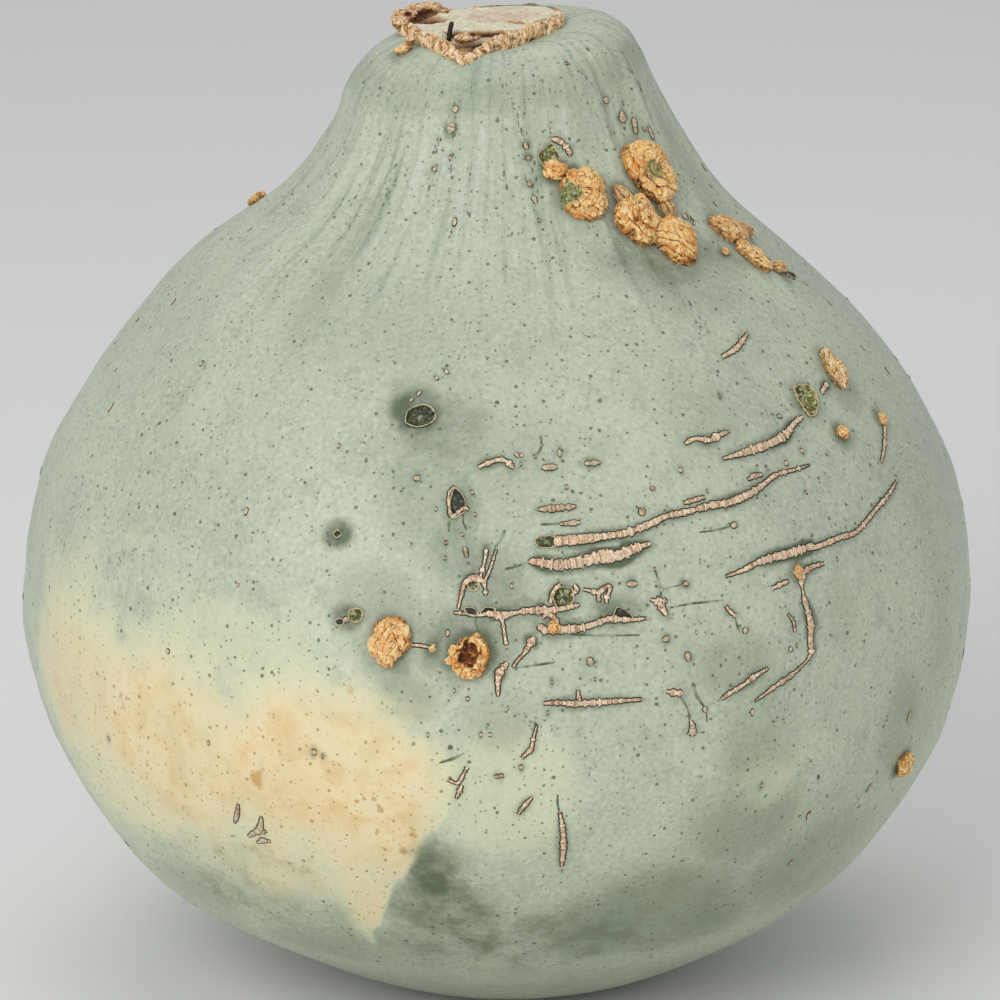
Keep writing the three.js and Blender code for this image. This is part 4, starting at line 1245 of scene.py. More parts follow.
def line_mesh(name, lines):
    """Bare edges along lines, each an array of x, y, z, outward x, y, z, half-width and vein."""
    rows = np.vstack(lines)
    edges = []
    start = 0
    for line in lines:
        edges += [(start + k, start + k + 1) for k in range(len(line) - 1)]
        start += len(line)
    mesh = bpy.data.meshes.new(name)
    mesh.from_pydata(in_frame(rows[:, :3]).tolist(), edges, [])
    set_attributes(mesh, {"outward": rows[:, 3:6], "half_width": rows[:, 6] * MM, "vein": rows[:, 7]})
    return mesh


def cork_ridge_tree():
    """A low ridge of cork along each line, plated across, with a thin lip on both sides.

    It sweeps a round profile along the line, then presses it flat on the skin that the line lies on.
    """
    tree, given = open_tree("cork ridge", {
        "Spacing": 0.00022,
        "Plate Pitch": 0.0021,
        "Plate Edge": 0.00038,
        "Ragged Edge": 1.9,
        "Grain": 0.0008,
        "Rise": 0.42,
        "Lip": 0.00034,
        "Sink": 0.0005,
        "Sides": 14,
    })
    stored = {}
    for key, kind in (("half_width", "FLOAT"), ("cork", "FLOAT"), ("ring", "FLOAT"),
                      ("outward", "FLOAT_VECTOR"), ("centre", "FLOAT_VECTOR")):
        read = add(tree, "GeometryNodeInputNamedAttribute", {"Name": key}, data_type=kind)
        stored[key] = read.outputs[0]

    # Along the line: the cork's half-width, ragged by noise and stepped out at each plate's edge.
    line = add(tree, "GeometryNodeMeshToCurve", {"Mesh": given["Geometry"]})
    inputs = {"Curve": line, "Length": given["Spacing"]}
    line = add(tree, "GeometryNodeResampleCurve", inputs, mode="LENGTH")
    along = add(tree, "GeometryNodeSplineParameter").outputs["Length"]
    fine = add(tree, MATH, (1.0, given["Grain"]), operation="DIVIDE")
    shake = add(tree, NOISE, {"Scale": fine, "Detail": 2.0})
    sway = add(tree, MATH, (shake.outputs["Fac"], 0.5), operation="SUBTRACT")
    turns = add(tree, MATH, (along, given["Plate Pitch"]), operation="DIVIDE")
    turns = add(tree, MATH, (sway, 2.2, turns), operation="MULTIPLY_ADD")
    phase = add(tree, MATH, (turns, math.tau), operation="MULTIPLY")
    wave = add(tree, MATH, (phase,), operation="COSINE")
    wave = add(tree, MATH, (wave, 0.5, 0.5), operation="MULTIPLY_ADD")
    plate = add(tree, MATH, (wave, 9.0), operation="POWER")
    coarse = add(tree, MATH, (fine, 0.45), operation="MULTIPLY")
    grown_out = add(tree, NOISE, {"Scale": coarse, "Detail": 1.0})
    grown_out = add(tree, "ShaderNodeMapRange", {
        "Value": grown_out.outputs["Fac"], "From Min": 0.38, "From Max": 0.6,
        "To Min": 0.35, "To Max": 1.2})
    plate = add(tree, MATH, (plate, grown_out), operation="MULTIPLY")
    inputs = {"Geometry": line, "Name": "ring", "Value": plate}
    line = add(tree, "GeometryNodeStoreNamedAttribute", inputs)
    wide = add(tree, MATH, (sway, given["Ragged Edge"], 0.95), operation="MULTIPLY_ADD")
    half = add(tree, MATH, (stored["half_width"], wide), operation="MULTIPLY")
    half = add(tree, MATH, (plate, given["Plate Edge"], half), operation="MULTIPLY_ADD")
    line = add(tree, "GeometryNodeStoreNamedAttribute", {"Geometry": line, "Name": "cork", "Value": half})
    here = add(tree, "GeometryNodeInputPosition")
    inputs = {"Geometry": line, "Name": "centre", "Value": here}
    line = add(tree, "GeometryNodeStoreNamedAttribute", inputs, data_type="FLOAT_VECTOR")
    span = add(tree, MATH, (stored["cork"], given["Lip"]), operation="ADD")
    circle = add(tree, "GeometryNodeCurvePrimitiveCircle", {"Resolution": given["Sides"], "Radius": 1.0})
    tube = add(tree, "GeometryNodeCurveToMesh", {
        "Curve": line, "Profile Curve": circle, "Scale": span, "Fill Caps": True})

    # Across the tube: each point's reach to the side sets its rise, and points below go under the skin.
    cork, centre = stored["cork"], stored["centre"]
    outward = add(tree, VECTOR_MATH, (stored["outward"],), operation="NORMALIZE")
    away = add(tree, VECTOR_MATH, (here, centre), operation="SUBTRACT")
    lift = add(tree, VECTOR_MATH, (away, outward), operation="DOT_PRODUCT")
    lift = lift.outputs["Value"]
    lifted = add(tree, VECTOR_MATH, {0: outward, "Scale": lift}, operation="SCALE")
    side = add(tree, VECTOR_MATH, (away, lifted), operation="SUBTRACT")
    reach = add(tree, VECTOR_MATH, (side,), operation="LENGTH").outputs["Value"]
    beyond = add(tree, MATH, (reach, cork), operation="SUBTRACT")
    beyond = add(tree, MATH, (beyond, given["Lip"]), operation="DIVIDE")
    share = add(tree, MATH, (reach, cork), operation="DIVIDE")
    share = add(tree, MATH, (share, 2.0), operation="POWER")
    dome = add(tree, MATH, (1.0, share), operation="SUBTRACT")
    dome = add(tree, MATH, (dome, 0.0), operation="MAXIMUM")
    dome = add(tree, MATH, (dome, 0.6), operation="POWER")
    rise = add(tree, MATH, (stored["ring"], 0.5, 1.0), operation="MULTIPLY_ADD")
    rise = add(tree, MATH, (cork, rise), operation="MULTIPLY")
    rise = add(tree, MATH, (rise, given["Rise"]), operation="MULTIPLY")
    top = add(tree, MATH, (dome, rise, 0.00005), operation="MULTIPLY_ADD")
    above = add(tree, "FunctionNodeCompare", (lift, -0.00001), operation="GREATER_THAN")
    under = add(tree, MATH, (given["Sink"], -1.0), operation="MULTIPLY")
    inputs = {"Switch": above, "False": under, "True": top}
    lay = add(tree, "GeometryNodeSwitch", inputs, input_type="FLOAT")
    lay = add(tree, VECTOR_MATH, {0: outward, "Scale": lay}, operation="SCALE")
    settled = add(tree, VECTOR_MATH, (centre, side), operation="ADD")
    settled = add(tree, VECTOR_MATH, (settled, lay), operation="ADD")
    inputs = {"Geometry": tube, "Name": "lip", "Value": beyond}
    tube = add(tree, "GeometryNodeStoreNamedAttribute", inputs)
    tube = add(tree, "GeometryNodeSetPosition", {"Geometry": tube, "Position": settled})
    close_tree(tree, tube, given["Material"])
    return tree


def scattered_flecks_tree():
    """Tiny corky flecks scattered over the rind, flat on it and drawn out upwards."""
    tree, given = open_tree("scattered flecks", {
        "Density": 2500.0,
        "Smallest": 0.0003,
        "Largest": 0.0008,
        "Seed": 5,
    })
    bare = add(tree, "GeometryNodeInputNamedAttribute", {"Name": "bare"}).outputs[0]
    spread = add(tree, "GeometryNodeDistributePointsOnFaces", {
        "Mesh": given["Geometry"], "Distance Min": 0.004, "Density Max": given["Density"],
        "Density Factor": bare, "Seed": given["Seed"]}, distribute_method="POISSON")
    grain = add(tree, "GeometryNodeMeshIcoSphere", {"Radius": 1.0, "Subdivisions": 2})
    parts = add(tree, "ShaderNodeSeparateXYZ", {"Vector": add(tree, "GeometryNodeInputPosition")})
    flat = add(tree, "ShaderNodeCombineXYZ", {"X": parts.outputs["X"], "Y": parts.outputs["Y"]})
    reach = add(tree, VECTOR_MATH, (flat,), operation="LENGTH").outputs["Value"]
    beyond = add(tree, MATH, (reach, 4.0, -2.9), operation="MULTIPLY_ADD")
    for key, value in (("lip", beyond), ("ring", 0.1)):
        inputs = {"Geometry": grain, "Name": key, "Value": value}
        grain = add(tree, "GeometryNodeStoreNamedAttribute", inputs)
    size = add(tree, "FunctionNodeRandomValue", {
        "Min": given["Smallest"], "Max": given["Largest"], "Seed": given["Seed"]})
    longer = add(tree, "FunctionNodeRandomValue", {"Min": 1.0, "Max": 2.2, "Seed": 9})
    tall = add(tree, MATH, (size, longer), operation="MULTIPLY")
    thin = add(tree, MATH, (size, 0.35), operation="MULTIPLY")
    shape = add(tree, "ShaderNodeCombineXYZ", {"X": size, "Y": tall, "Z": thin})
    flecks = add(tree, "GeometryNodeInstanceOnPoints", {
        "Points": spread.outputs["Points"], "Instance": grain, "Rotation": spread.outputs["Rotation"],
        "Scale": shape})
    close_tree(tree, flecks, given["Material"])
    return tree


# ---------------------------------------------------------------- pits

# The width of a pit's raised lip.
LIP_WIDTH = 0.24


def pit_dish(place, seed):
    """A pit's dish: a thin raised lip, steep walls and a rough floor, closed underneath."""
    bearing, height, depth, green, orange, outline = place
    ring = pit_ring(outline)
    if np.cross(ring, np.roll(ring, -1, axis=0)).sum() < 0:
        ring = ring[::-1]
    here, right, up, outward = lie(*spot(bearing, height))
    size = np.hypot(*ring.T).mean()
    lip_wide = min(LIP_WIDTH / size, 0.26)
    floor = 1 - lip_wide
    # Each ring's share of the outline, its rise over the skin, and how much of it is lip.
    rows = [
        (0.3, -depth - 0.5, 0), (1.0 + 0.8 * lip_wide, -0.35, 0.4), (1.0 + 0.8 * lip_wide, -0.02, 0.5),
        (1.0 + 0.3 * lip_wide, 0.28, 1), (1.0 - 0.3 * lip_wide, 0.26, 1),
        (1.0 - 1.1 * lip_wide, 0.05, 0.35), (1.0 - 1.9 * lip_wide, -0.35 * depth + 0.05, 0),
        (0.62 * floor, -0.6 * depth + 0.1, 0), (0.4 * floor, -0.6 * depth + 0.05, 0),
        (0.2 * floor, -0.55 * depth + 0.1, 0)]
    points = []
    lip = []
    for share, rise, edge in rows:
        flat = ring * share
        ragged = rough(np.column_stack([flat, np.full(PIT_SIDES, seed)]), 0.9, seed)
        flat = flat * (1 + 0.05 * ragged * (share > 0.8))[:, None]
        lifted = rise + (0.16 * depth * ragged * (share < 0.9) if rise < 0.2 else 0.07 * ragged)
        lifted = np.asarray(lifted)[:, None] * outward
        points.append(here + flat[:, :1] * right + flat[:, 1:] * up + lifted)
        lip.append(np.full(PIT_SIDES, edge))
    points = np.vstack(points + [here - (depth + 0.5) * outward, here - (0.5 * depth - 0.1) * outward])
    lip = np.concatenate(lip + [[0, 0]])
    return points, closed_faces(len(rows), PIT_SIDES), {"lip": lip, "green": green, "orange": orange}


# ---------------------------------------------------------------- the cut stem


def on_stub(x, y, rise):
    """Points on the leaning face of the stub, rise above it."""
    x, y, rise = np.broadcast_arrays(x, y, rise)
    lean = y * math.tan(STUB_LEAN["front"]) + x * math.tan(STUB_LEAN["left"])
    return np.stack([x, y, STUB_TOP + lean + rise], -1)


def stub_ring(places):
    """The stub's smooth outline at places from 0 to 1 round it."""
    return spline(STUB_OUTLINE, places, closed=True, pull=0.4)


def line_reach(x, y, start, end):
    """Distance from a line, how far along it from 0 to 1, and which side: positive to its left."""
    start, end = np.array(start, float), np.array(end, float)
    run = end - start
    length = np.linalg.norm(run)
    share = ((x - start[0]) * run[0] + (y - start[1]) * run[1]) / length**2
    side = ((y - start[1]) * run[0] - (x - start[0]) * run[1]) / length
    beyond = np.maximum(np.maximum(-share, share - 1), 0) * length
    return np.hypot(side, beyond), share, side


def oval(x, y, centre, wide, deep):
    """1 inside an oval and 0 outside, smooth between."""
    return 1 - smooth(0.55, 1.15, np.hypot((x - centre[0]) / wide, (y - centre[1]) / deep))


def swell(x, y, centre, wide, deep):
    """1 at a centre, falling off softly over a width and a depth."""
    return np.exp(-(((x - centre[0]) / wide) ** 2 + ((y - centre[1]) / deep) ** 2))


def face_relief(x, y):
    """How high the torn face stands at each place, and how dark it is painted: brown with painted shade in
    its hollows and a painted shadow along the step.
    """
    flat = np.column_stack([x, y, np.zeros_like(x)])
    rise = 0.5 * rough(flat, 5, 3) + 0.3 * rough(flat, 1.7, 4)
    _, along, side = line_reach(x, y, (-13, -6.6), (5, -9.2))
    side = side + 0.5 * rough(flat, 2.2, 6)
    step = smooth(0.25, -0.35, side) * smooth(-0.15, 0.02, along) * smooth(1.3, 0.95, along)
    # Painted shadow line along the foot of the step.
    foot = step * smooth(1.3, 0.1, -side)
    front = oval(x, y, (-8.3, -20), 5.5, 7)
    slit, run, _ = line_reach(x, y, (-2.5, 3.0), (9.0, -5.0))
    slit = 1 - smooth(0.35, 1.0, slit / (0.7 + 1.3 * np.clip(run, 0, 1)))
    left = oval(x, y, (-19.5, 6.5), 6.5, 5.2)
    rise = rise - 1.9 * step - 2.2 * front - 2.2 * slit - 3.0 * left
    # Hollows painted dark: brown wood with painted shade in the recesses, the slit and the step's shadow.
    hollow = np.clip(1.2 * foot + 0.9 * front + 1.2 * slit + left + 0.3 * step, 0, 1)
    return rise, hollow


def stem_face_part():
    """The torn face of the stub over its outline, closed underneath."""
    columns, rings = 168, 58
    edge = stub_ring(np.arange(columns) / columns) - STUB_CENTRE
    parts = [on_stub(*(STUB_CENTRE + edge * 0.5).T, -5.5), on_stub(*(STUB_CENTRE + edge * 0.96).T, -4.5)]
    hollow = [np.zeros(columns), np.zeros(columns)]
    for share in np.linspace(1, 0, rings, endpoint=False):
        x, y = (STUB_CENTRE + edge * share * 0.97).T
        rise, dark = face_relief(x, y)
        fade = smooth(1.0, 0.93, share)
        parts.append(on_stub(x, y, rise * fade + 0.2))
        # Painted darker towards the front of the face's outer edge.
        hollow.append(np.maximum(dark, 0.6 * smooth(0.86, 0.95, share) * smooth(6, 0, y)))
    rise, dark = face_relief(STUB_CENTRE[:1], STUB_CENTRE[1:])
    middle = [on_stub(*STUB_CENTRE, -5.5)[None], on_stub(*STUB_CENTRE, rise[0] + 0.2)[None]]
    points = np.vstack(parts + middle)
    pink = oval(points[:, 0], points[:, 1], (1, 4), 13, 8)
    moss = oval(points[:, 0], points[:, 1], (-6.5, -18), 4, 4)
    moss = np.maximum(moss, oval(points[:, 0], points[:, 1], (12, -3), 4, 3))
    masks = {"hollow": np.concatenate(hollow + [[0], dark]), "pink": pink, "moss": moss}
    return points, closed_faces(len(parts), columns), masks


def stem_rim_part():
    """The bark rolled back round the stub: thick, folded and hanging in front, thin and olive behind, with
    painted shade on its inner underside.
    """
    pitch = bpy.context.scene.squash_stem.wrinkle_pitch / MM
    stations, sides = 520, 26
    places = np.arange(stations) / stations
    ring = stub_ring(places)
    along = unit(np.roll(ring, -1, axis=0) - np.roll(ring, 1, axis=0))
    out = np.column_stack([along[:, 1], -along[:, 0]])
    x, y = ring.T
    flat = np.column_stack([x, y, np.zeros(stations)])
    front = smooth(9, -4, y)
    corner = swell(x, y, (-8.5, -26), 5, 7)
    left_band = swell(x, y, (-18, -13), 5, 7)
    right_band = swell(x, y, (4.5, -13), 8, 8)
    thick = 0.75 + 1.15 * front - 0.2 * corner + 0.45 * left_band + 2.0 * right_band
    thick = thick + 0.45 * rough(flat, 4, 14)
    wide = 0.95 + 0.5 * front + 0.5 * corner + 0.3 * rough(flat, 5, 15)
    droop = -0.2 - 0.7 * front - 2.2 * corner - 2.0 * right_band + 0.7 * rough(flat, 6, 16)
    steps = np.hypot(*np.diff(ring, axis=0).T) / (pitch * (1 + 2.2 * right_band[1:]))
    travel = np.concatenate([[0], np.cumsum(steps)])
    slant = np.repeat(0.35 + 1.1 * right_band, sides)
    turn = np.linspace(0, 2 * np.pi, sides, endpoint=False)
    middle = on_stub(x, y, droop)
    outward = np.column_stack([out, np.zeros(stations)])
    upward = np.array((0, 0, 1.0))
    across = (wide[:, None] * np.cos(turn))[..., None] * outward[:, None]
    above = (thick[:, None] * np.sin(turn))[..., None] * upward
    points = (middle[:, None] + across + above).reshape(-1, 3)
    around = np.tile(np.sin(turn), stations)
    swirl = rough(points, 2.6, 17)
    phase = np.repeat(travel, sides) + 1.1 * swirl + slant * around
    crest, crack = folds(phase)
    cross, chip = folds(1.5 * rough(points, 2.2, 18) + 0.8 * swirl)
    growth = 0.2 * (crest - 0.6) + 0.18 * (cross - 0.6) + 0.34 * swirl + 0.06 * rough(points, 0.6, 19)
    radial = points - np.repeat(middle, sides, axis=0)
    calm = np.repeat(0.35 + 0.65 * front, sides)
    points = points + radial * (growth * calm)[:, None]
    crease_and_shade = np.clip(0.75 * crack + 0.7 * chip - 0.3 * swirl, 0, 1)
    # Painted shade on the inner underside of the roll, where it turns in towards the face.
    inner = np.tile(smooth(0.2, 0.9, -np.cos(turn)) * smooth(0.75, -0.2, np.sin(turn)), stations)
    olive = np.repeat(smooth(4, 12, y) * smooth(-12, 2, x), sides)
    faces = []
    for low in range(0, stations * sides, sides):
        high = (low + sides) % (stations * sides)
        for side in range(sides):
            beside = (side + 1) % sides
            faces.append((low + side, high + side, high + beside, low + beside))
    return points, faces, {"crease_and_shade": crease_and_shade, "olive": olive, "hollow": 0.8 * inner}


def stem_lump(x, y, width, length, rise, turn, seed, hollow_at):
    """A crumpled lump of bark on the stub's corner, with a hole sunk and painted dark with shade where one
    is given.
    """
    ball, faces, crease_and_shade = folded_lump("crumpled", seed, 4)
    angle = math.radians(turn)
    across = ball[:, 0] * width / 2
    along = ball[:, 1] * length / 2
    flat_x = x + across * math.cos(angle) - along * math.sin(angle)
    flat_y = y + across * math.sin(angle) + along * math.cos(angle)
    points = on_stub(flat_x, flat_y, (ball[:, 2] * 0.6 + 0.25) * rise)
    hollow = np.zeros(len(points))
    if hollow_at is not None:
        *hole, reach = hollow_at
        hollow = 1 - smooth(0.15, reach, np.linalg.norm(ball - np.array(hole), axis=1))
        points[:, 1] += hollow * 1.4
    return points, faces, {"crease_and_shade": crease_and_shade, "olive": 0.0, "hollow": hollow}


# Lumps of the bark: x, y, width, length, rise, turn, seed, then a hole's place on the ball and its reach.
STEM_LUMPS = [
    (-20.8, 12.4, 10, 6, 3.6, 5, 51, (0.15, -1.0, -0.1, 1.0)),
    (-25.6, 8, 6, 7, 3.2, 10, 52, (0.25, -0.75, 0.5, 0.6)),
    (-17.0, 13.4, 6, 3.4, 2.0, -10, 53, None),
    (-26.2, 2.0, 4.5, 6, 2.6, 0, 54, None),
    (-23.6, -16.5, 2.6, 2.2, 2.4, 0, 55, None),
    (-8.6, -17.2, 7, 5, 2.1, 20, 56, (0.4, -0.5, 0.6, 0.7)),
]


def splinter_part():
    """The black splinter that stands in the torn face: a flat bent blade."""
    foot_x, foot_y = -13.4, -9.8
    points = []
    for share, half_wide, lean in (
        (0, 0.75, 0), (0.25, 0.8, 0.1), (0.6, 0.75, 0.35), (0.88, 0.8, 0.7), (1, 0.45, 0.8),
    ):
        for x, y in ((-1, -0.35), (1, -0.5), (1, 0.35), (-1, 0.5)):
            across = foot_x + 0.85 * x * half_wide + lean
            points.append(on_stub(across, foot_y + y * 0.8, -2.2 + 5.4 * share))
    faces = ring_faces(5, 4) + [(3, 2, 1, 0), (16, 17, 18, 19)]
    return np.array(points), faces, {}


# ---------------------------------------------------------------- settings


def colour_setting(name, description, colour):
    """A colour property whose default is an sRGB hex value."""
    return bpy.props.FloatVectorProperty(
        name=name, description=description, default=linear(colour)[:3], min=0, max=1, subtype="COLOR")


def length_setting(name, description, default):
    """A length property in metres."""
    return bpy.props.FloatProperty(
        name=name, description=description, default=default, min=0, unit="LENGTH", precision=5)


class RindSettings(bpy.types.PropertyGroup):
    """Size and skin colours of the squash."""

    width: length_setting("Width", "Width of the squash body", BODY_HIGH.x - BODY_LOW.x)
    height: length_setting("Height", "Height of the squash body", BODY_HIGH.z - BODY_LOW.z)
    blue_skin: colour_setting("Blue Skin", "The bluest grey of the bloom", "#AFB8A3")
    skin: colour_setting("Skin", "The main grey-green", "#B8C1AB")
    pale_skin: colour_setting("Pale Skin", "The palest yellow-green", "#C4CAB1")
    ground_spot: colour_setting("Ground Spot", "Cream spot where it lay on the ground", "#EAD3A3")


class WartSettings(bpy.types.PropertyGroup):
    """Look of the warts."""

    cork: colour_setting("Cork", "Orange-tan of the fresh cork", "#DE9643")


class ScarSettings(bpy.types.PropertyGroup):
    """Look of the corky scars."""

    plate_pitch: length_setting("Plate Pitch", "Length of the crosswise plates of cork", 0.0021)
    lip: length_setting("Lip", "Width of the dark lip beside the cork", 0.00034)
    cork: colour_setting("Cork", "Pinkish tan of the wound cork", "#E6C19A")


class StemSettings(bpy.types.PropertyGroup):
    """Look of the cut stem."""

    wrinkle_pitch: length_setting("Wrinkle Pitch", "Distance between wrinkles of the rolled bark", 0.0028)
    face: colour_setting("Face", "Pale wood of the torn face", "#EAE2CA")
    bark: colour_setting("Bark", "Tan of the rolled bark", "#E6BC86")


class StageSettings(bpy.types.PropertyGroup):
    """Floor, light and camera."""

    floor: colour_setting("Floor", "Colour of the floor", "#F2F2F0")
    key: bpy.props.FloatProperty(
        name="Key Light", description="Power of the main soft light", default=20.0, unit="POWER")
    camera_distance: length_setting("Camera Distance", "From the camera to the squash", 1.6)
    camera_elevation: bpy.props.FloatProperty(
        name="Camera Elevation", description="Angle of the camera above level", default=math.radians(16),
        subtype="ANGLE", unit="ROTATION")


# ---------------------------------------------------------------- operators


class SQUASH_OT_rind(bpy.types.Operator):
    """Build the ribbed waxy rind with its dents, ground spot and greener skin round scars"""

    bl_idname = "squash.rind"
    bl_label = "Rind"

    def execute(self, context):
        stand("squash_rind", rind_mesh(), waxy_rind(), "rind", "squash_body")
        return {"FINISHED"}


class SQUASH_OT_warts(bpy.types.Operator):
    """Build the cork warts of the shoulder, the ridge, the belly and the back"""

    bl_idname = "squash.warts"
    bl_label = "Warts"

    def execute(self, context):
        cork = wart_cork()
        seed = 1
        for name, places in {"shoulder_warts": SHOULDER_WARTS, "ridge_warts": RIDGE_WARTS,
                             "belly_warts": BELLY_WARTS, "back_warts": BACK_WARTS}.items():
            parts = []
            for place in places:
                seed += 2
                parts.append(wart(place, seed))
            if name == "shoulder_warts":
                for index, mark in WART_MARKS.items():
                    tint(parts[index], *mark)
            if name == "belly_warts":
                parts.append(burst_wart())
            stand(name, mesh_of(name, *joined(parts)), cork, "cork")
        return {"FINISHED"}


class SQUASH_OT_pits(bpy.types.Operator):
    """Build the sunken pits with their pale lips and dark floors"""

    bl_idname = "squash.pits"
    bl_label = "Pits"

    def execute(self, context):
        parts = [pit_dish(place, 60 + index) for index, place in enumerate(PITS.values())]
        stand("sunken_pits", mesh_of("sunken_pits", *joined(parts)), pit_tissue(), "rind")
        return {"FINISHED"}


class SQUASH_OT_scars(bpy.types.Operator):
    """Grow the corky scars, the green veins and the small flecks over the rind"""

    bl_idname = "squash.scars"
    bl_label = "Scars"

    def execute(self, context):
        settings = context.scene.squash_scars
        cork = scar_cork()
        tree = cork_ridge_tree()
        sizes = {"Plate Pitch": settings.plate_pitch, "Lip": settings.lip, "Material": cork}
        small = CLAWS + [fleck_path(fleck) for fleck in FLECKS]
        thin = {"Lip": settings.lip * 0.3, "Plate Edge": 0.00005, "Ragged Edge": 2.2, "Rise": 0.1}
        for name, paths, vein, spacing, slot, changes in (
            ("cork_scars", SCARS.values(), 0.0, 0.35, "cork", {}),
            ("cork_flecks", small, 0.4, 0.3, "cork", {"Plate Edge": 0.00012}),
            ("green_veins", VEINS.values(), 1.0, 0.35, "rind", thin),
        ):
            base = line_mesh(name + " lines", [scar_line(path, vein, spacing) for path in paths])
            stand(name, grown(tree, base, sizes | changes), cork, slot)
        return {"FINISHED"}


class SQUASH_OT_scattered_flecks(bpy.types.Operator):
    """Scatter tiny corky flecks over the rest of the rind"""

    bl_idname = "squash.scattered_flecks"
    bl_label = "Scattered Flecks"

    def execute(self, context):
        rind = bpy.data.objects.get("squash_rind")
        if rind is None:
            raise RuntimeError("build the rind before its flecks")
        base = rind.data.copy()
        points = np.zeros(len(base.vertices) * 3, np.float32)
        base.vertices.foreach_get("co", points)
        x, y, z = points.reshape(-1, 3).T
        facing = -y / np.maximum(np.hypot(x, y), 0.001)
        away = 1 - smooth(-0.2, 0.5, facing) * 0.93
        set_attributes(base, {"bare": away * smooth(0.02, 0.05, z) * smooth(0.262, 0.25, z)})
        cork = bpy.data.materials["pink wound cork"]
        stand("scattered_flecks", grown(scattered_flecks_tree(), base, {"Material": cork}), cork, "cork")
        return {"FINISHED"}


class SQUASH_OT_stem(bpy.types.Operator):
    """Build the cut stem: torn face, rolled bark, corner lumps and the black splinter"""

    bl_idname = "squash.stem"
    bl_label = "Cut Stem"

    def execute(self, context):
        bark = stem_bark()
        stand("stem_face", mesh_of("stem_face", *stem_face_part()), cut_stem_wood(), "cork", "stem_stub")
        rolled = joined([stem_rim_part()] + [stem_lump(*lump) for lump in STEM_LUMPS])
        stand("stem_rim", mesh_of("stem_rim", *rolled), bark, "cork", "stem_stub")
        stand("stem_splinter", mesh_of("stem_splinter", *splinter_part()), dried_fibre(), "cork")
        return {"FINISHED"}


class SQUASH_OT_blossom_scar(bpy.types.Operator):
    """Build the corky button that the blossom left under the squash"""

    bl_idname = "squash.blossom_scar"
    bl_label = "Blossom Scar"

    def execute(self, context):
        ball, faces, crease_and_shade = folded_lump("rings", 77, 5)
        points = ball * np.array((8.5, 8.5, 1.1)) + np.array((0, 0, 2.2))
        points[:, 2] = np.maximum(points[:, 2], 0.5)
        button = points, faces, {"crease_and_shade": crease_and_shade, "age": 0.7, "hollow": 0.0, "flesh": 0.0}
        mesh = mesh_of("blossom_scar", *joined([button]))
        stand("blossom_scar", mesh, bpy.data.materials["natural wart cork"], "cork")
        return {"FINISHED"}


# The stage, in metres: half the floor's width, where the lights and the camera look, and the width
# that the camera sees there. The camera's sensor is in millimetres.
FLOOR_HALF = 6
LIGHT_TARGET = (0, 0, 0.13)
CAMERA_TARGET = (0.000275, 0, 0.1328)
VIEW_WIDTH = 0.2751
SENSOR = 36


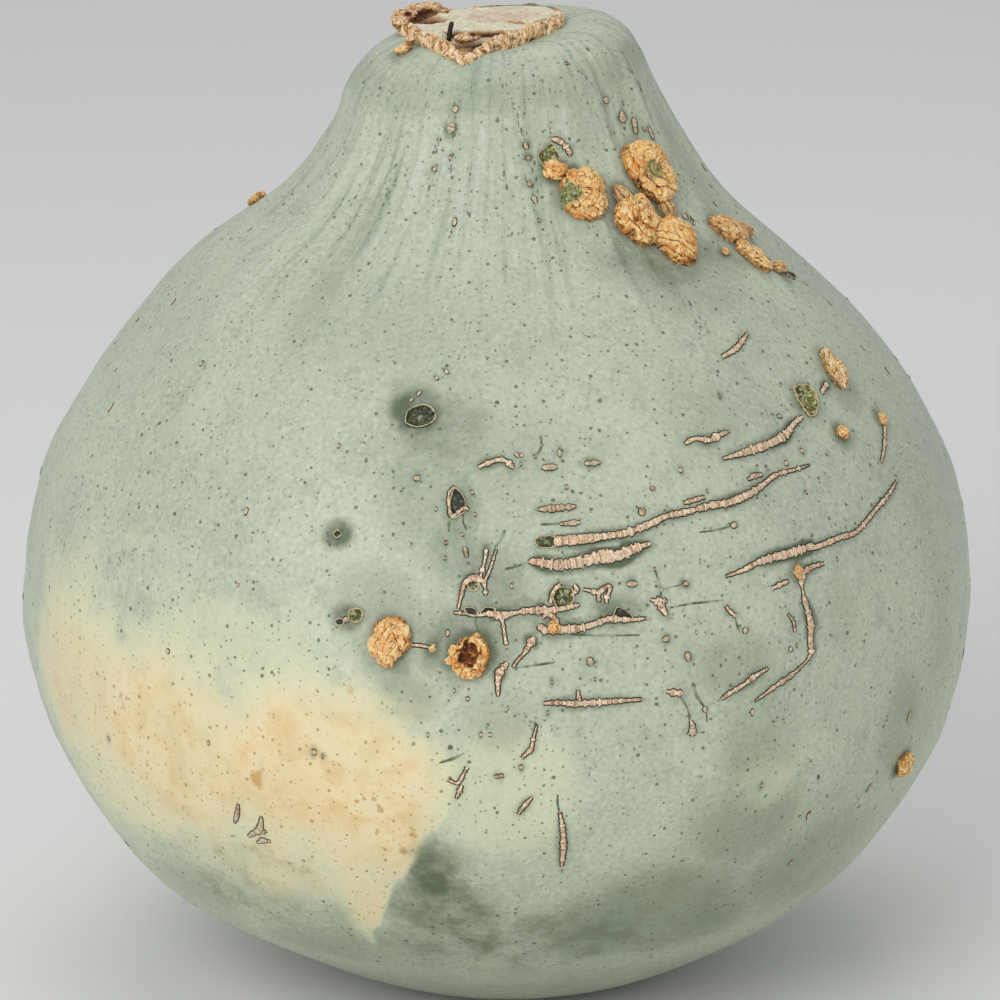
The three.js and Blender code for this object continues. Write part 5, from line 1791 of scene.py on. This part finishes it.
class SQUASH_OT_stage(bpy.types.Operator):
    """Lay the pale floor, hang the soft lights and set the camera"""

    bl_idname = "squash.stage"
    bl_label = "Stage"

    def execute(self, context):
        scene = context.scene
        settings = scene.squash_stage
        sheet = bmesh.new()
        bmesh.ops.create_grid(sheet, x_segments=8, y_segments=8, size=FLOOR_HALF)
        mesh = bpy.data.meshes.new("floor")
        sheet.to_mesh(mesh)
        sheet.free()
        mesh.materials.append(studio_paper())
        floor = bpy.data.objects.new("floor", mesh)
        scene.collection.objects.link(floor)

        lights = {
            "key light": ((-0.75, -1.65, 1.15), 1.2, settings.key),
            "fill light": ((1.7, -1.2, 0.9), 1.2, settings.key * 0.17),
            "top light": ((-0.1, 0.5, 1.9), 1.4, settings.key * 0.34),
        }
        for name, (place, size, power) in lights.items():
            lamp = bpy.data.lights.new(name, "AREA")
            lamp.shape = "SQUARE"
            lamp.size = size
            lamp.energy = power
            light = bpy.data.objects.new(name, lamp)
            light.location = place
            toward = Vector(LIGHT_TARGET) - Vector(place)
            light.rotation_euler = toward.to_track_quat("-Z", "Y").to_euler()
            scene.collection.objects.link(light)

        world = bpy.data.worlds.new("soft studio")
        scene.world = world
        world.use_nodes = True
        world.node_tree.nodes["Background"].inputs["Color"].default_value = linear("#F4F6F8")
        world.node_tree.nodes["Background"].inputs["Strength"].default_value = 0.47
        scene.view_settings.view_transform = "Standard"

        lens = bpy.data.cameras.new("camera")
        lens.sensor_width = SENSOR
        lens.lens = SENSOR * settings.camera_distance / VIEW_WIDTH
        lens.clip_end = 50
        camera = bpy.data.objects.new("camera", lens)
        target = Vector(CAMERA_TARGET)
        back = Vector((0, -math.cos(settings.camera_elevation), math.sin(settings.camera_elevation)))
        camera.location = target + back * settings.camera_distance
        camera.rotation_euler = (-back).to_track_quat("-Z", "Y").to_euler()
        scene.collection.objects.link(camera)
        scene.camera = camera
        return {"FINISHED"}


class SQUASH_PT_panel(bpy.types.Panel):
    """Lists the pieces of the squash and their settings"""

    bl_idname = "SQUASH_PT_panel"
    bl_label = "Blue Hubbard Squash"
    bl_space_type = "VIEW_3D"
    bl_region_type = "UI"
    bl_category = "Squash"

    def draw(self, context):
        for piece, settings in PIECES:
            box = self.layout.box()
            box.operator(piece.bl_idname)
            if settings:
                group = getattr(context.scene, settings)
                for key in group.bl_rna.properties.keys():
                    if key not in ("rna_type", "name"):
                        box.prop(group, key)


PIECES = [
    (SQUASH_OT_rind, "squash_rind"), (SQUASH_OT_warts, "squash_warts"), (SQUASH_OT_pits, None),
    (SQUASH_OT_scars, "squash_scars"), (SQUASH_OT_scattered_flecks, None), (SQUASH_OT_stem, "squash_stem"),
    (SQUASH_OT_blossom_scar, None), (SQUASH_OT_stage, "squash_stage"),
]
SETTINGS = {
    "squash_rind": RindSettings, "squash_warts": WartSettings, "squash_scars": ScarSettings,
    "squash_stem": StemSettings, "squash_stage": StageSettings,
}


def register():
    """Registers the settings, the operators and the panel."""
    for name, group in SETTINGS.items():
        bpy.utils.register_class(group)
        setattr(bpy.types.Scene, name, bpy.props.PointerProperty(type=group))
    for piece, _ in PIECES:
        bpy.utils.register_class(piece)
    bpy.utils.register_class(SQUASH_PT_panel)


def unregister():
    """Takes everything that register added out again."""
    bpy.utils.unregister_class(SQUASH_PT_panel)
    for piece, _ in reversed(PIECES):
        bpy.utils.unregister_class(piece)
    for name, group in SETTINGS.items():
        delattr(bpy.types.Scene, name)
        bpy.utils.unregister_class(group)


def main():
    """Registers the add-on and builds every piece."""
    register()
    bpy.ops.squash.rind()
    bpy.ops.squash.warts()
    bpy.ops.squash.pits()
    bpy.ops.squash.scars()
    bpy.ops.squash.scattered_flecks()
    bpy.ops.squash.stem()
    bpy.ops.squash.blossom_scar()
    bpy.ops.squash.stage()


if __name__ == "__main__":
    main()
